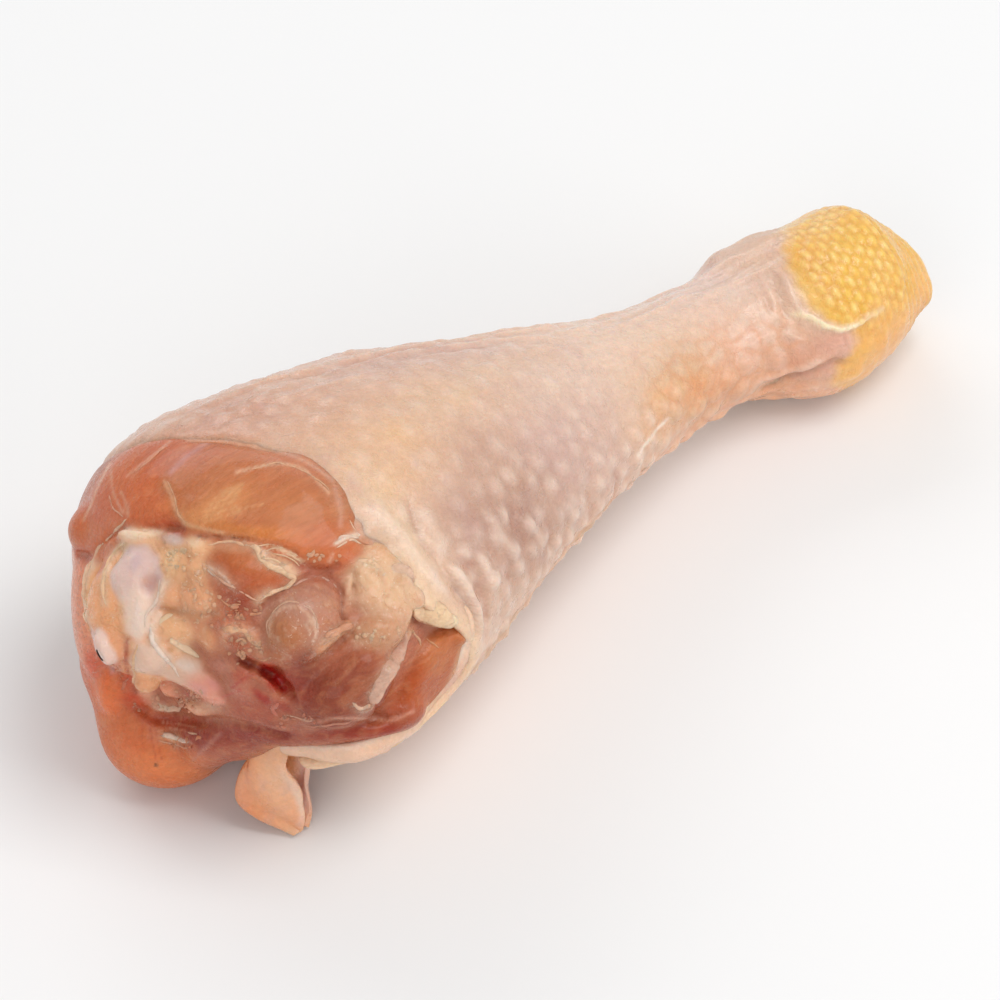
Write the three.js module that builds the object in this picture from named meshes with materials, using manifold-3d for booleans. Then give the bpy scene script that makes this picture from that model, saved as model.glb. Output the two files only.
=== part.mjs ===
// A raw chicken drumstick lying on its side: the skin with its curled flap, the meat, and the shin
// bone that runs through it and shows at the knee and at the hock.
// Millimetres, +Z up. +X runs from the knee cut to the hock, and the drumstick lies on z = 0.
// The origin is the middle of the flat spot that its weight presses under the calf.
import * as THREE from "three";
import { ParametricGeometry } from "three/addons/geometries/ParametricGeometry.js";
import { mergeVertices } from "three/addons/utils/BufferGeometryUtils.js";
import Module from "manifold-3d";

// ---- Driving dimensions ----
const GAP = 0.3; // clearance between solids that touch
const SKIN = 1.6; // skin with the fat that clings to it
const KNEE_LIP = 0.5; // how far the skin's rounded edge stands out at the knee cut
const HOCK_LIP = 0.4; // and at the hock cut
const CALF_X = -2; // thickest section: the knee dome starts here
const DOME_LENGTH = 23.5; // from the thickest section to the foremost point of the knee
const DOME_FULLNESS = 2.6; // 2 would be an ellipse, more is blunter
const HOCK_END = 119.5; // where the foot was cut off
const MEAT_END = 118; // meat stops just inside the skin at the hock
const BONE_END = 119.3;

// Cross-sections from the calf to the hock cut. Each is an ellipse: its place along the leg, its
// sideways shift, half its width, half its height, and how high its middle lies.
const CUT_SECTIONS = [
  { x: CALF_X, y: -0.9, width: 29.5, height: 26.5, middle: 25.7 }, // calf
  { x: 14, y: 0.0, width: 26.7, height: 24.3, middle: 24.4 },
  { x: 28, y: 1.5, width: 22.5, height: 21.2, middle: 23.2 },
  { x: 42, y: 2.6, width: 18.1, height: 17.4, middle: 21.0 },
  { x: 56, y: 3.6, width: 14.4, height: 13.9, middle: 18.6 },
  { x: 70, y: 3.9, width: 11.2, height: 10.9, middle: 16.3 },
  { x: 82, y: 4.3, width: 10.2, height: 9.9, middle: 14.1 }, // waist of the shank
  { x: 91, y: 4.0, width: 11.6, height: 11.0, middle: 12.3 },
  { x: 100, y: 2.1, width: 13.4, height: 13.0, middle: 12.7 }, // hock joint
  { x: 109, y: 1.5, width: 12.3, height: 12.3, middle: 13.0 },
  { x: 116, y: 1.8, width: 9.7, height: 10.2, middle: 12.2 },
  { x: HOCK_END, y: 2.0, width: 6.9, height: 7.6, middle: 11.6 },
];

// Swellings and hollows of the skin: turn is the angle round the leg, 0 on top and growing towards
// the -Y side. rise is how far they stand out, length and spread are their reach in mm.
const SWELLINGS = [
  { x: 99, turn: 125, rise: 1.6, length: 5, spread: 6 }, // heel pad under the hock
  { x: 88, turn: 118, rise: -1.3, length: 4.5, spread: 7 }, // crease in front of the pad
  { x: 84, turn: -50, rise: 1.0, length: 2.2, spread: 4 }, // tendon lump on the upper side
  { x: 112, turn: 40, rise: 0.8, length: 3, spread: 9 }, // fold in front of the hock cut
  { x: -10, turn: 122, rise: -2.0, length: 9, spread: 11 }, // hollow above the flap
  { x: 24, turn: -45, rise: 0.7, length: 6, spread: 10 },
  { x: 44, turn: -52, rise: 0.6, length: 5, spread: 8 },
  { x: 30, turn: 100, rise: 0.6, length: 7, spread: 9 },
];

// Where the skin was cut at the knee: place along the leg for each turn round it. It is pulled back
// on the -Y side, where the thigh was taken off, and reaches forward on the far side.
const SKIN_EDGE = [
  [-180, -13],
  [-120, -15],
  [-90, -18],
  [-60, -16],
  [-30, -12],
  [0, -6],
  [25, 0],
  [45, 1],
  [58, 3],
  [72, 8],
  [86, 12],
  [100, 7],
  [112, -5],
  [126, -10],
  [150, -12],
  [180, -13],
];

// The knee cut faces up and towards -X and -Y. Lumps on it are placed in its own frame: across it,
// up it, and out of it, measured from the middle of the knee.
const KNEE_MIDDLE = new THREE.Vector3(0, 0, 25);
const CUT_ELEVATION = 46; // how far the cut looks up
const CUT_AZIMUTH = 50; // how far it turns from -X towards -Y

// Soft parts that show on the cut: place across and up the face, depth of the middle under its
// surface, half sizes across, up and out, and turn in the face.
const MEAT_LUMPS = [
  { name: "calf muscle, far head", at: [-17.6, 11.4], sink: 8.6, half: [11.4, 7.6, 8.6], turn: 38 },
  { name: "calf muscle, near head", at: [-1.6, 8.6], sink: 9.2, half: [14.6, 8.2, 9.8], turn: -18 },
  { name: "short muscle under it", at: [-3.2, 0.4], sink: 5.0, half: [7.2, 4.6, 5.4], turn: -30 },
  { name: "pale round lobe", at: [3.6, -6.2], sink: 6.2, half: [8.0, 6.8, 6.8], turn: 15 },
  { name: "ball in the lobe", at: [3.1, -7.2], sink: 3.6, half: [4.3, 4.3, 4.6], turn: 0 },
  { name: "fat, upper lump", at: [14.4, -1.0], sink: 4.6, half: [6.6, 5.0, 5.2], turn: -40 },
  { name: "fat, tongue", at: [20.2, -6.4], sink: 3.4, half: [6.0, 2.6, 3.4], turn: -30 },
  { name: "fat, lower lump", at: [13.5, -7.5], sink: 4.4, half: [5.4, 4.6, 4.8], turn: 20 },
  { name: "tendon", at: [14.8, -13.0], sink: 3.0, half: [1.3, 5.4, 3.6], turn: -26 },
  { name: "near side muscle", at: [19.4, -13.6], sink: 6.4, half: [5.2, 8.2, 6.2], turn: -28 },
  { name: "middle muscle", at: [9.6, -15.0], sink: 5.8, half: [8.6, 6.2, 6.4], turn: 28 },
  { name: "joint fat, middle", at: [-10.6, -3.0], sink: 4.0, half: [6.0, 6.8, 5.4], turn: 0 },
  { name: "joint fat, upper ridge", at: [-15.6, 3.6], sink: 3.4, half: [6.6, 3.1, 4.6], turn: 6 },
];

// Muscle that sags on the floor under the joint: middle and half sizes along X, Y and Z.
const SAGGING_MUSCLE = [
  { name: "foot of the muscle", at: [-17.8, -1.6, 9.6], half: [11.0, 11.0, 8.6] },
  { name: "its far side", at: [-17.6, 5.0, 15.4], half: [10.0, 11.4, 11.0] },
];

// Hollows between them.
const MEAT_HOLLOWS = [
  { name: "blood pocket", at: [1.6, -14.8], sink: 0.6, half: [3.6, 2.4, 3.6], turn: -30 },
];

// Gristle of the joint, part of the shin bone.
const JOINT_LUMPS = [
  { name: "far condyle", at: [-23.6, -5.6], sink: 3.4, half: [3.9, 8.6, 5.6], turn: 6 },
  { name: "gristle channel", at: [-18.6, -4.6], sink: 5.2, half: [3.8, 9.4, 5.0], turn: -4 },
  { name: "near condyle", at: [-12.6, -12.2], sink: 3.6, half: [6.6, 4.6, 5.0], turn: -24 },
  { name: "condyle rim", at: [-18.6, -12.6], sink: 3.2, half: [3.0, 4.6, 4.6], turn: 8 },
];

// The shin bone runs straight from the knee to the hock: half thicknesses along it.
const BONE_START = new THREE.Vector3(-13, -1, 28);
const BONE_FINISH = new THREE.Vector3(BONE_END, 2.2, 11.8);
const BONE_HEAD = { halfLength: 9, halfWidth: 12, halfHeight: 10 };
const BONE_PROFILE = [
  [0, 0],
  [8.5, 0],
  [8.0, 6],
  [5.6, 15],
  [4.2, 30],
  [3.8, 60],
  [4.0, 100],
  [5.4, 118],
  [6.4, 126],
  [5.2, 131],
  [3.4, 133.3],
  [0, 133.3],
];

// The flap: a strip of skin that hangs from the near lower edge to the floor, curled on itself.
const FLAP_LUMPS = [
  { name: "root", at: [-12.2, -20.4, 9.6], half: [5.0, 2.0, 3.8], tilt: 0, heading: -40 },
  { name: "roll", at: [-12.8, -20.6, 5.6], half: [2.8, 2.2, 5.0], tilt: 8, heading: -52 },
  { name: "middle", at: [-14.6, -18.2, 5.8], half: [4.6, 1.8, 4.4], tilt: 0, heading: -52 },
  { name: "curled side", at: [-16.6, -15.6, 4.6], half: [3.2, 2.1, 3.8], tilt: 0, heading: -52 },
  { name: "tip", at: [-14.0, -20.6, 2.0], half: [2.6, 1.9, 1.9], tilt: 0, heading: -52 },
];

// Mesh fineness: steps round the leg, along it, and on each lump.
const TURNS = 36;
const OUTER_ROWS = 36;
const INNER_ROWS = 10;
const CORE_ROWS = 23;
const LUMP_SIDES = 14;
const LUMP_RINGS = 8;
const BONE_SIDES = 14;
const SEARCH_FROM = 40; // a place on the knee cut is looked for from here, out of the knee's middle
const SEARCH_TO = -20;
const SEARCH_STEP = 0.25;

const COLOURS = { skin: "#dfc5b1", meat: "#c9865f", bone: "#e2d5ca" };

const wasm = await Module();
wasm.setup();
const { degToRad, lerp, clamp, smoothstep } = THREE.MathUtils;

// ---- Solids from geometries, and back ----
function solid(geometry) {
  const bare = geometry.index ? geometry.toNonIndexed() : geometry.clone();
  bare.deleteAttribute("normal");
  bare.deleteAttribute("uv");
  const merged = mergeVertices(bare, 1e-4);
  const corners = merged.index.array;
  const kept = [];
  for (let i = 0; i < corners.length; i += 3) {
    const [a, b, c] = [corners[i], corners[i + 1], corners[i + 2]];
    if (a !== b && b !== c && c !== a) kept.push(a, b, c);
  }
  const mesh = new wasm.Mesh({
    numProp: 3,
    vertProperties: merged.attributes.position.array,
    triVerts: new Uint32Array(kept),
  });
  return new wasm.Manifold(mesh);
}

function toMesh(name, whole, colour, roughness) {
  const { vertProperties, triVerts } = whole.getMesh();
  const geometry = new THREE.BufferGeometry();
  geometry.setAttribute("position", new THREE.BufferAttribute(vertProperties, 3));
  geometry.setIndex(new THREE.BufferAttribute(triVerts, 1));
  geometry.computeVertexNormals();
  const material = new THREE.MeshStandardMaterial({ color: colour, roughness, metalness: 0 });
  const mesh = new THREE.Mesh(geometry, material);
  mesh.name = name;
  return mesh;
}

// ---- The leg's outer form ----
const middles = CUT_SECTIONS.map((s) => new THREE.Vector3(s.x, s.y, s.middle));
const halves = CUT_SECTIONS.map((s) => new THREE.Vector3(s.x, s.width, s.height));
const middleLine = new THREE.CatmullRomCurve3(middles, false, "catmullrom", 0.5);
const halfLine = new THREE.CatmullRomCurve3(halves, false, "catmullrom", 0.5);

// Section at x: the curves rise steadily in x, so halving finds the place on them.
function sectionAt(x) {
  let low = 0;
  let high = 1;
  for (let i = 0; i < 24; i += 1) {
    const half = (low + high) / 2;
    if (middleLine.getPoint(half).x < x) low = half;
    else high = half;
  }
  const middle = middleLine.getPoint(low);
  const half = halfLine.getPoint(low);
  const dome = clamp((CALF_X - x) / DOME_LENGTH, 0, 1);
  const narrowing = (1 - dome ** DOME_FULLNESS) ** (1 / DOME_FULLNESS);
  return { y: middle.y, z: middle.z, width: half.y, height: half.z, narrowing };
}

// How far the swellings lift the skin at a place on it.
function swellingAt(x, turn, girth) {
  let rise = 0;
  for (const s of SWELLINGS) {
    const round = ((((turn - s.turn) % 360) + 540) % 360) - 180;
    const along = (x - s.x) / s.length;
    const across = (degToRad(round) * girth) / s.spread;
    rise += s.rise * Math.exp(-along * along - across * across);
  }
  return rise;
}

// A point at x and a turn round the leg, so deep under the outer face of the skin. The underside is
// pressed flat on the floor.
function legPoint(x, turn, depth, target) {
  const s = sectionAt(x);
  const out = swellingAt(x, turn, s.width) - depth;
  const angle = degToRad(turn);
  const width = Math.max(0, s.width + out) * s.narrowing;
  const height = Math.max(0, s.height + out) * s.narrowing;
  const z = s.z + height * Math.cos(angle);
  return target.set(x, s.y - width * Math.sin(angle), Math.max(z, depth));
}

// ---- The frame of the knee cut ----
const elevation = degToRad(CUT_ELEVATION);
const azimuth = degToRad(CUT_AZIMUTH);
const faceOut = new THREE.Vector3(
  -Math.cos(elevation) * Math.cos(azimuth),
  -Math.cos(elevation) * Math.sin(azimuth),
  Math.sin(elevation),
);
const faceAcross = new THREE.Vector3(Math.sin(azimuth), -Math.cos(azimuth), 0);
const faceUp = new THREE.Vector3().crossVectors(faceOut, faceAcross);
const faceTurn = new THREE.Matrix4().makeBasis(faceAcross, faceUp, faceOut);

// How far out of the knee's middle the leg's surface lies at a place on the face: steps inwards
// until it is inside the leg, or takes the nearest pass where the place is beside it.
function surfaceReach(across, up) {
  const place = new THREE.Vector3();
  let nearest = Infinity;
  let reach = 0;
  for (let out = SEARCH_FROM; out > SEARCH_TO; out -= SEARCH_STEP) {
    place.set(across, up, out).applyMatrix4(faceTurn).add(KNEE_MIDDLE);
    if (place.x < CALF_X - DOME_LENGTH) continue;
    const s = sectionAt(place.x);
    const fill = Math.hypot((place.y - s.y) / s.width, (place.z - s.z) / s.height) / s.narrowing;
    if (fill <= 1) return out;
    if (fill < nearest) {
      nearest = fill;
      reach = out;
    }
  }
  return reach;
}

// An egg-shaped lump on the face, made bigger all round by grow.
function faceLump({ at, sink, half, turn }, grow) {
  const [across, up] = at;
  const egg = new THREE.SphereGeometry(1, LUMP_SIDES, LUMP_RINGS);
  egg.scale(...half.map((size) => size + grow));
  egg.rotateZ(degToRad(turn));
  egg.translate(across, up, surfaceReach(across, up) - sink);
  egg.applyMatrix4(faceTurn);
  egg.translate(...KNEE_MIDDLE.toArray());
  return solid(egg);
}

function faceLumps(lumps, grow) {
  return lumps.map((lump) => faceLump(lump, grow)).reduce((whole, lump) => whole.add(lump));
}

// ---- Shin bone: a shaft with a broad head of gristle at the knee ----
function boneSolid(grow) {
  const way = new THREE.Vector3().subVectors(BONE_FINISH, BONE_START);
  const stretch = way.length() / BONE_PROFILE.at(-1)[1];
  const profile = BONE_PROFILE.map(([radius, along], i) => {
    const end = i === 0 || i === BONE_PROFILE.length - 1;
    const tail = along === BONE_PROFILE.at(-1)[1] ? grow : 0;
    return new THREE.Vector2(end ? 0 : radius + grow, along * stretch + tail);
  });
  const shaft = new THREE.LatheGeometry(profile, BONE_SIDES);
  const up = new THREE.Vector3(0, 1, 0);
  shaft.applyQuaternion(new THREE.Quaternion().setFromUnitVectors(up, way.normalize()));
  shaft.translate(...BONE_START.toArray());

  const head = new THREE.SphereGeometry(1, LUMP_SIDES, LUMP_RINGS);
  const { halfLength, halfWidth, halfHeight } = BONE_HEAD;
  head.scale(halfLength + grow, halfWidth + grow, halfHeight + grow);
  head.translate(...BONE_START.toArray());

  return solid(shaft).add(solid(head)).add(faceLumps(JOINT_LUMPS, grow));
}

// ---- Meat: fills the skin, and swells out of it in lumps at the knee ----
function coreSolid(grow) {
  const knee = CALF_X - DOME_LENGTH - grow;
  const core = new ParametricGeometry(
    (round, along, target) => {
      // rows lie closer together on the dome and at the hock cut, and more evenly between them
      const crowded = (1 - Math.cos(Math.PI * along)) / 2;
      const even = smoothstep(along, 0.1, 0.4) / 2;
      const x = lerp(knee, MEAT_END + grow, lerp(crowded, along, even));
      const pole = along === 0 || along === 1;
      legPoint(x, (round % 1) * 360, SKIN + GAP - grow, target);
      const s = sectionAt(x);
      if (pole) target.set(x, s.y, s.z);
    },
    TURNS,
    CORE_ROWS,
  );
  return solid(core);
}

function bulges(grow) {
  const sagging = SAGGING_MUSCLE.map(({ at, half }) => {
    const egg = new THREE.SphereGeometry(1, LUMP_SIDES, LUMP_RINGS);
    egg.scale(...half.map((size) => size + grow));
    egg.translate(...at);
    return solid(egg);
  });
  return sagging.reduce((whole, lump) => whole.add(lump), faceLumps(MEAT_LUMPS, grow));
}

function meatSolid() {
  let whole = coreSolid(0).add(bulges(0));
  for (const hollow of MEAT_HOLLOWS) whole = whole.subtract(faceLump(hollow, 0));
  return whole;
}

// ---- Skin: a sleeve open at the knee and at the hock ----
function edgeAt(turn) {
  const wrapped = ((((turn + 180) % 360) + 360) % 360) - 180;
  const next = SKIN_EDGE.findIndex(([angle]) => angle > wrapped);
  const [angleA, xA] = SKIN_EDGE[next - 1];
  const [angleB, xB] = SKIN_EDGE[next];
  return lerp(xA, xB, smoothstep(wrapped, angleA, angleB));
}

// It is made thicker than the skin, and the grown core then hollows it to the skin's thickness.
function sleeveSolid() {
  const rim = SKIN / 2;
  const rows = [];
  for (let i = 0; i <= OUTER_ROWS; i += 1) rows.push({ t: i / OUTER_ROWS, depth: 0, lip: 0 });
  rows.push({ t: 1, depth: rim, lip: HOCK_LIP });
  for (let i = INNER_ROWS; i >= 0; i -= 1) {
    const t = i / INNER_ROWS;
    rows.push({ t, depth: lerp(2 * SKIN, SKIN + GAP, t), lip: 0 });
  }
  rows.push({ t: 0, depth: rim, lip: -KNEE_LIP });
  const sleeve = new ParametricGeometry(
    (round, along, target) => {
      const { t, depth, lip } = rows[Math.round(along * rows.length) % rows.length];
      const turn = (round % 1) * 360;
      legPoint(lerp(edgeAt(turn), HOCK_END, t) + lip, turn, depth, target);
    },
    TURNS,
    rows.length,
  );
  return solid(sleeve);
}

function flapLump({ at, half, tilt, heading }) {
  const egg = new THREE.SphereGeometry(1, LUMP_SIDES, LUMP_RINGS);
  egg.scale(...half);
  egg.rotateY(degToRad(tilt));
  egg.rotateZ(degToRad(heading));
  egg.translate(...at);
  return solid(egg);
}

function skinSolid() {
  let whole = sleeveSolid();
  for (const lump of FLAP_LUMPS) whole = whole.add(flapLump(lump));
  whole = whole.subtract(coreSolid(GAP)).subtract(bulges(GAP));
  whole = whole.subtract(boneSolid(GAP));
  // what the lumps shave off the sleeve falls away: only the sleeve itself stays
  return whole.decompose().sort((a, b) => b.volume() - a.volume())[0];
}

const drumstick = new THREE.Group();
drumstick.name = "drumstick";
drumstick.add(toMesh("skin", skinSolid(), COLOURS.skin, 0.4));
drumstick.add(toMesh("meat", meatSolid().subtract(boneSolid(GAP)), COLOURS.meat, 0.35));
drumstick.add(toMesh("shinbone", boneSolid(0), COLOURS.bone, 0.35));

export default drumstick;
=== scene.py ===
import math

import bpy
import numpy as np
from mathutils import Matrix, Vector


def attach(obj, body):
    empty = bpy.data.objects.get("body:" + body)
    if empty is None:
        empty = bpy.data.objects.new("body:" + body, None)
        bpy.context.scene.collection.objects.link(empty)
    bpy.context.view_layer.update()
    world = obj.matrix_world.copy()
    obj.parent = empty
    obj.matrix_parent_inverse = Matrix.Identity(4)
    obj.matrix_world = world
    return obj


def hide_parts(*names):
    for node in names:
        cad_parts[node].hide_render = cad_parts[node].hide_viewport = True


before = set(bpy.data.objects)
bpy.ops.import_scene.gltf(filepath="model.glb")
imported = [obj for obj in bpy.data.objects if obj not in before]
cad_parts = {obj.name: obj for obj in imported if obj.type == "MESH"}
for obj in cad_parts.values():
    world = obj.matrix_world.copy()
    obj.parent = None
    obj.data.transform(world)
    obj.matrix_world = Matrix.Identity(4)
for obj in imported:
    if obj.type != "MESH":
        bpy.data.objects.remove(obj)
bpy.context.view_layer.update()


# ==== Skin ====================================================================================
# One sleeve of the bird's own skin round the leg: thin, moist, pimpled where the feathers grew,
# pebbled with fat on the shank and grown into hard yellow scales at the hock. It was cut round the
# knee, where its edge curls out, and sawn through with the joint at the hock.

MM = 0.001
CALF_X = -2.0  # thickest section: the knee dome starts here
DOME_LENGTH = 23.5
DOME_FULLNESS = 2.6
HOCK_END = 119.5
SCALES_FROM = 90.0  # rows of the mesh lie closer together from here to the hock cut
JUST_OVER_BOARD = 0.02  # the lowest that the skin may lie

# Place along the leg, sideways shift, half width, half height and height of the middle
SECTIONS = np.array([
    (CALF_X, -0.9, 29.5, 26.5, 25.7),
    (14, 0, 26.7, 24.3, 24.4),
    (28, 1.5, 22.5, 21.2, 23.2),
    (42, 2.6, 18.1, 17.4, 21),
    (56, 3.6, 14.4, 13.9, 18.6),
    (70, 3.9, 11.2, 10.9, 16.3),
    (82, 4.3, 10.2, 9.9, 14.1),
    (91, 4, 11.6, 11, 12.3),
    (100, 2.1, 13.4, 13, 12.7),
    (109, 1.5, 12.2, 12.8, 12.9),
    (116, 1.8, 9.3, 9.7, 11.9),
    (HOCK_END, 2, 7.2, 6.8, 11.2),
])

# Swellings and hollows: place along the leg, turn round it (0 on top, growing towards the near
# side), rise, and reach along and across
SWELLINGS = (
    (99, 125, 1.6, 5, 6),  # heel pad
    (88, 118, -1.3, 4.5, 7),  # crease in front of it
    (93, -50, 1.2, 2.4, 4.5),  # tendon lump
    (112, 40, 0.8, 3, 9),  # fold before the hock cut
    (-12, 126, -3, 8, 10),  # hollow above the flap
    (24, -45, 0.4, 6, 10),
    (64, -50, -0.4, 12, 9),
    (98, -46, 0.5, 3.5, 6),
    (104, -50, -0.7, 4.5, 6),
    (111, -16, 1, 2.6, 7),
    (114, 2, 0.9, 3, 5),
    (30, 100, 0.6, 7, 9),
    (117, 14, -1.3, 4, 8),  # the hock end is cornered: flatter above, fuller at its near side
    (119.5, 84, 1.7, 3.2, 7),
    (100, 122, -1.3, 4, 6),
)

# Where the skin was cut at the knee: turn and place along the leg
SKIN_EDGE = np.array([
    (-180, -4), (-150, -6), (-120, -9), (-90, -11.5), (-65, -12.5), (-45, -11.4), (-28, -8.8),
    (-13, -5.2), (-3, -2.4), (6, 0.6), (13, 1.5), (20, 1.9), (25, 1.6), (29, 0.7), (32, 1.2), (36, 0.8),
    (38.5, 2), (41, 3.4), (45, 4.7), (52, 5.3), (61, 6), (68.5, 8.3), (77, 11.2), (86, 12.6),
    (93, 12.6), (99, 11.8), (103, 10), (106, 6.4), (108, 1.2), (109.6, -4.2), (111.6, -8.8),
    (115, -11.8), (119, -12.6), (124, -10.4), (130, -6.5), (138, -3.8), (150, -3), (180, -4),
])

# How thick the skin and its fat are at that edge, and how far the edge curls out
EDGE_THICKNESS = np.array([
    (-180, 1.5), (-60, 0.9), (-30, 0.5), (38, 0.5), (52, 1), (68, 2.2), (90, 3), (120, 3.2), (140, 2),
    (180, 1.5),
])
EDGE_CURL = np.array([
    (-180, 0.2), (-40, 0), (38, 0), (58, 0.4), (75, 1), (112, 0.9), (132, 0), (180, 0.2),
])
CURL_REACH = 3.2
THICKNESS = 1.6


def smooth(low, high, value):
    """0 below low, 1 above high, and a smooth step between them."""
    t = np.clip((value - low) / (high - low), 0, 1)
    return t * t * (3 - 2 * t)


def eased(table, value):
    """A table's second column at value in its first, with smooth steps between its rows."""
    places, heights = table[:, 0], table[:, 1]
    at = np.clip(np.searchsorted(places, value, side="right") - 1, 0, len(places) - 2)
    return heights[at] + (heights[at + 1] - heights[at]) * smooth(places[at], places[at + 1], value)


def cut_at(turn):
    """Where along the leg the skin was cut, on a smooth curve through SKIN_EDGE."""
    return np.interp(turn, *curve_through(SKIN_EDGE, 8).T)


def curve_through(points, steps):
    """Points of a smooth curve through the given ones."""
    ends = (2 * points[0] - points[1], 2 * points[-1] - points[-2])
    p = np.vstack([ends[0], points, ends[1]])
    t = (np.arange(steps) / steps)[None, :, None]
    a, b, c, d = (p[i:len(p) - 3 + i][:, None, :] for i in range(4))
    way = 2 * b + (c - a) * t + (2 * a - 5 * b + 4 * c - d) * t**2 + (3 * b - a - 3 * c + d) * t**3
    return np.vstack([way.reshape(-1, points.shape[1]) / 2, points[-1]])


leg_line = curve_through(SECTIONS, 40)


def section(x):
    """The leg's cross-section at x: middle's y and z, half width and height, and the dome's share."""
    at = np.clip(x, CALF_X, HOCK_END)
    y, width, height, z = (np.interp(at, leg_line[:, 0], leg_line[:, k]) for k in (1, 2, 3, 4))
    dome = np.clip((CALF_X - x) / DOME_LENGTH, 0, 1)
    return y, z, width, height, (1 - dome**DOME_FULLNESS) ** (1 / DOME_FULLNESS)


def turn_between(turn, other):
    """The shorter way round the leg from one turn to another, in degrees."""
    return (turn - other + 540) % 360 - 180


def swelling(x, turn, girth):
    """How far the leg's lumps stand out at a place, and its hollows sink."""
    rise = 0.0
    for at, round_at, high, length, spread in SWELLINGS:
        across = np.radians(turn_between(turn, round_at)) * girth / spread
        rise = rise + high * np.exp(-(((x - at) / length) ** 2) - across**2)
    return rise


def leg_point(x, turn, depth):
    """Points so deep under the leg's outer face, pressed flat on the floor, in millimetres."""
    y, z, width, height, narrowing = section(x)
    out = swelling(x, turn, width) - depth
    angle = np.radians(turn)
    across = np.maximum(0, width + out) * narrowing * np.sin(angle)
    up = np.maximum(0, height + out) * narrowing * np.cos(angle)
    return np.stack([x + 0 * angle, y - across, np.maximum(z + up, np.maximum(depth, 0))], -1)


def noise(points, size, seed):
    """Smooth noise from -1 to 1 at each point, changing over about size."""
    draws = np.random.default_rng(seed).uniform(-1, 1, 4096)
    place = points / size
    cell = np.floor(place).astype(np.int64)
    t = place - cell
    t = t * t * (3 - 2 * t)
    total = 0.0
    for corner in np.ndindex(2, 2, 2):
        x, y, z = np.moveaxis(cell + corner, -1, 0)
        draw = draws[(x * 73856093 ^ y * 19349663 ^ z * 83492791) & 4095]
        total = total + draw * np.prod(np.where(corner, t, 1 - t), axis=-1)
    return total


def linear(colour):
    """An sRGB hex colour as linear red, green and blue."""
    values = [int(colour[i:i + 2], 16) / 255 for i in (1, 3, 5)]
    return np.array([v / 12.92 if v <= 0.04045 else ((v + 0.055) / 1.055) ** 2.4 for v in values])


def laid_over(hues, colour, share):
    """Colours with another laid over them, as strongly as share says."""
    colour = linear(colour) if isinstance(colour, str) else colour
    return hues + (colour - hues) * share[..., None]


def add(tree, kind, *values, out=0, **more):
    """Adds a node and gives one of its outputs. The values go to its inputs in order. Of the
    rest, a name in small letters is a setting; any other is an input's, with _ for a space."""
    family = next(f for f in ("Shader", "Geometry", "Function") if hasattr(bpy.types, f"{f}Node{kind}"))
    made = tree.nodes.new(f"{family}Node{kind}")
    for name, value in more.items():
        if name.islower():
            setattr(made, name, value)
    pairs = list(zip([socket for socket in made.inputs if socket.enabled], values))
    pairs += [(made.inputs[n.replace("_", " ")], v) for n, v in more.items() if not n.islower()]
    for socket, value in pairs:
        if isinstance(value, bpy.types.NodeSocket):
            tree.links.new(value, socket)
        else:
            socket.default_value = value
    return made.outputs[out] if isinstance(out, str) else [s for s in made.outputs if s.enabled][out]


def piece_from(name, points, faces, colours=None, **attributes):
    """A mesh object from points in millimetres, faces, colours and number attributes."""
    mesh = bpy.data.meshes.new(name)
    mesh.from_pydata((np.asarray(points) * MM).tolist(), [], [face.tolist() for face in faces])
    mesh.shade_smooth()
    if colours is not None:
        tint = mesh.attributes.new("hue", "FLOAT_COLOR", "POINT")
        tint.data.foreach_set("color", np.column_stack([colours, np.ones(len(colours))]).ravel())
    for key, values in attributes.items():
        wide = np.ndim(values) == 2
        made = mesh.attributes.new(key, "FLOAT_VECTOR" if wide else "FLOAT", "POINT")
        made.data.foreach_set("vector" if wide else "value", np.ravel(values).astype(np.float32))
    piece = bpy.data.objects.new(name, mesh)
    bpy.context.scene.collection.objects.link(piece)
    return piece


def ring_faces(rows, columns, closed_rows):
    """Quads between rows of points that each run round, and from the last row to the first."""
    row, column = np.meshgrid(np.arange(rows - (not closed_rows)), np.arange(columns), indexing="ij")
    after, beside = (row + 1) % rows, (column + 1) % columns
    corners = (row, column), (row, beside), (after, beside), (after, column)
    return np.stack([r * columns + c for r, c in corners], -1).reshape(-1, 4)


def modifier(piece, tree, **settings):
    """Puts a Geometry Nodes tree on a piece, with its inputs set by their identifiers."""
    made = piece.modifiers.new(tree.name, "NODES")
    made.node_group = tree
    names = {s.name: s.identifier for s in tree.interface.items_tree if s.in_out == "INPUT"}
    for name, value in settings.items():
        made[names[name.replace("_", " ")]] = value
    return made


def settle(piece):
    """Turns what a piece's modifiers make into its plain mesh."""
    bpy.context.view_layer.update()
    graph = bpy.context.evaluated_depsgraph_get()
    made = bpy.data.meshes.new_from_object(piece.evaluated_get(graph))
    piece.modifiers.clear()
    piece.data = made
    made.name = piece.name
    made.shade_smooth()
    return piece


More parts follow.
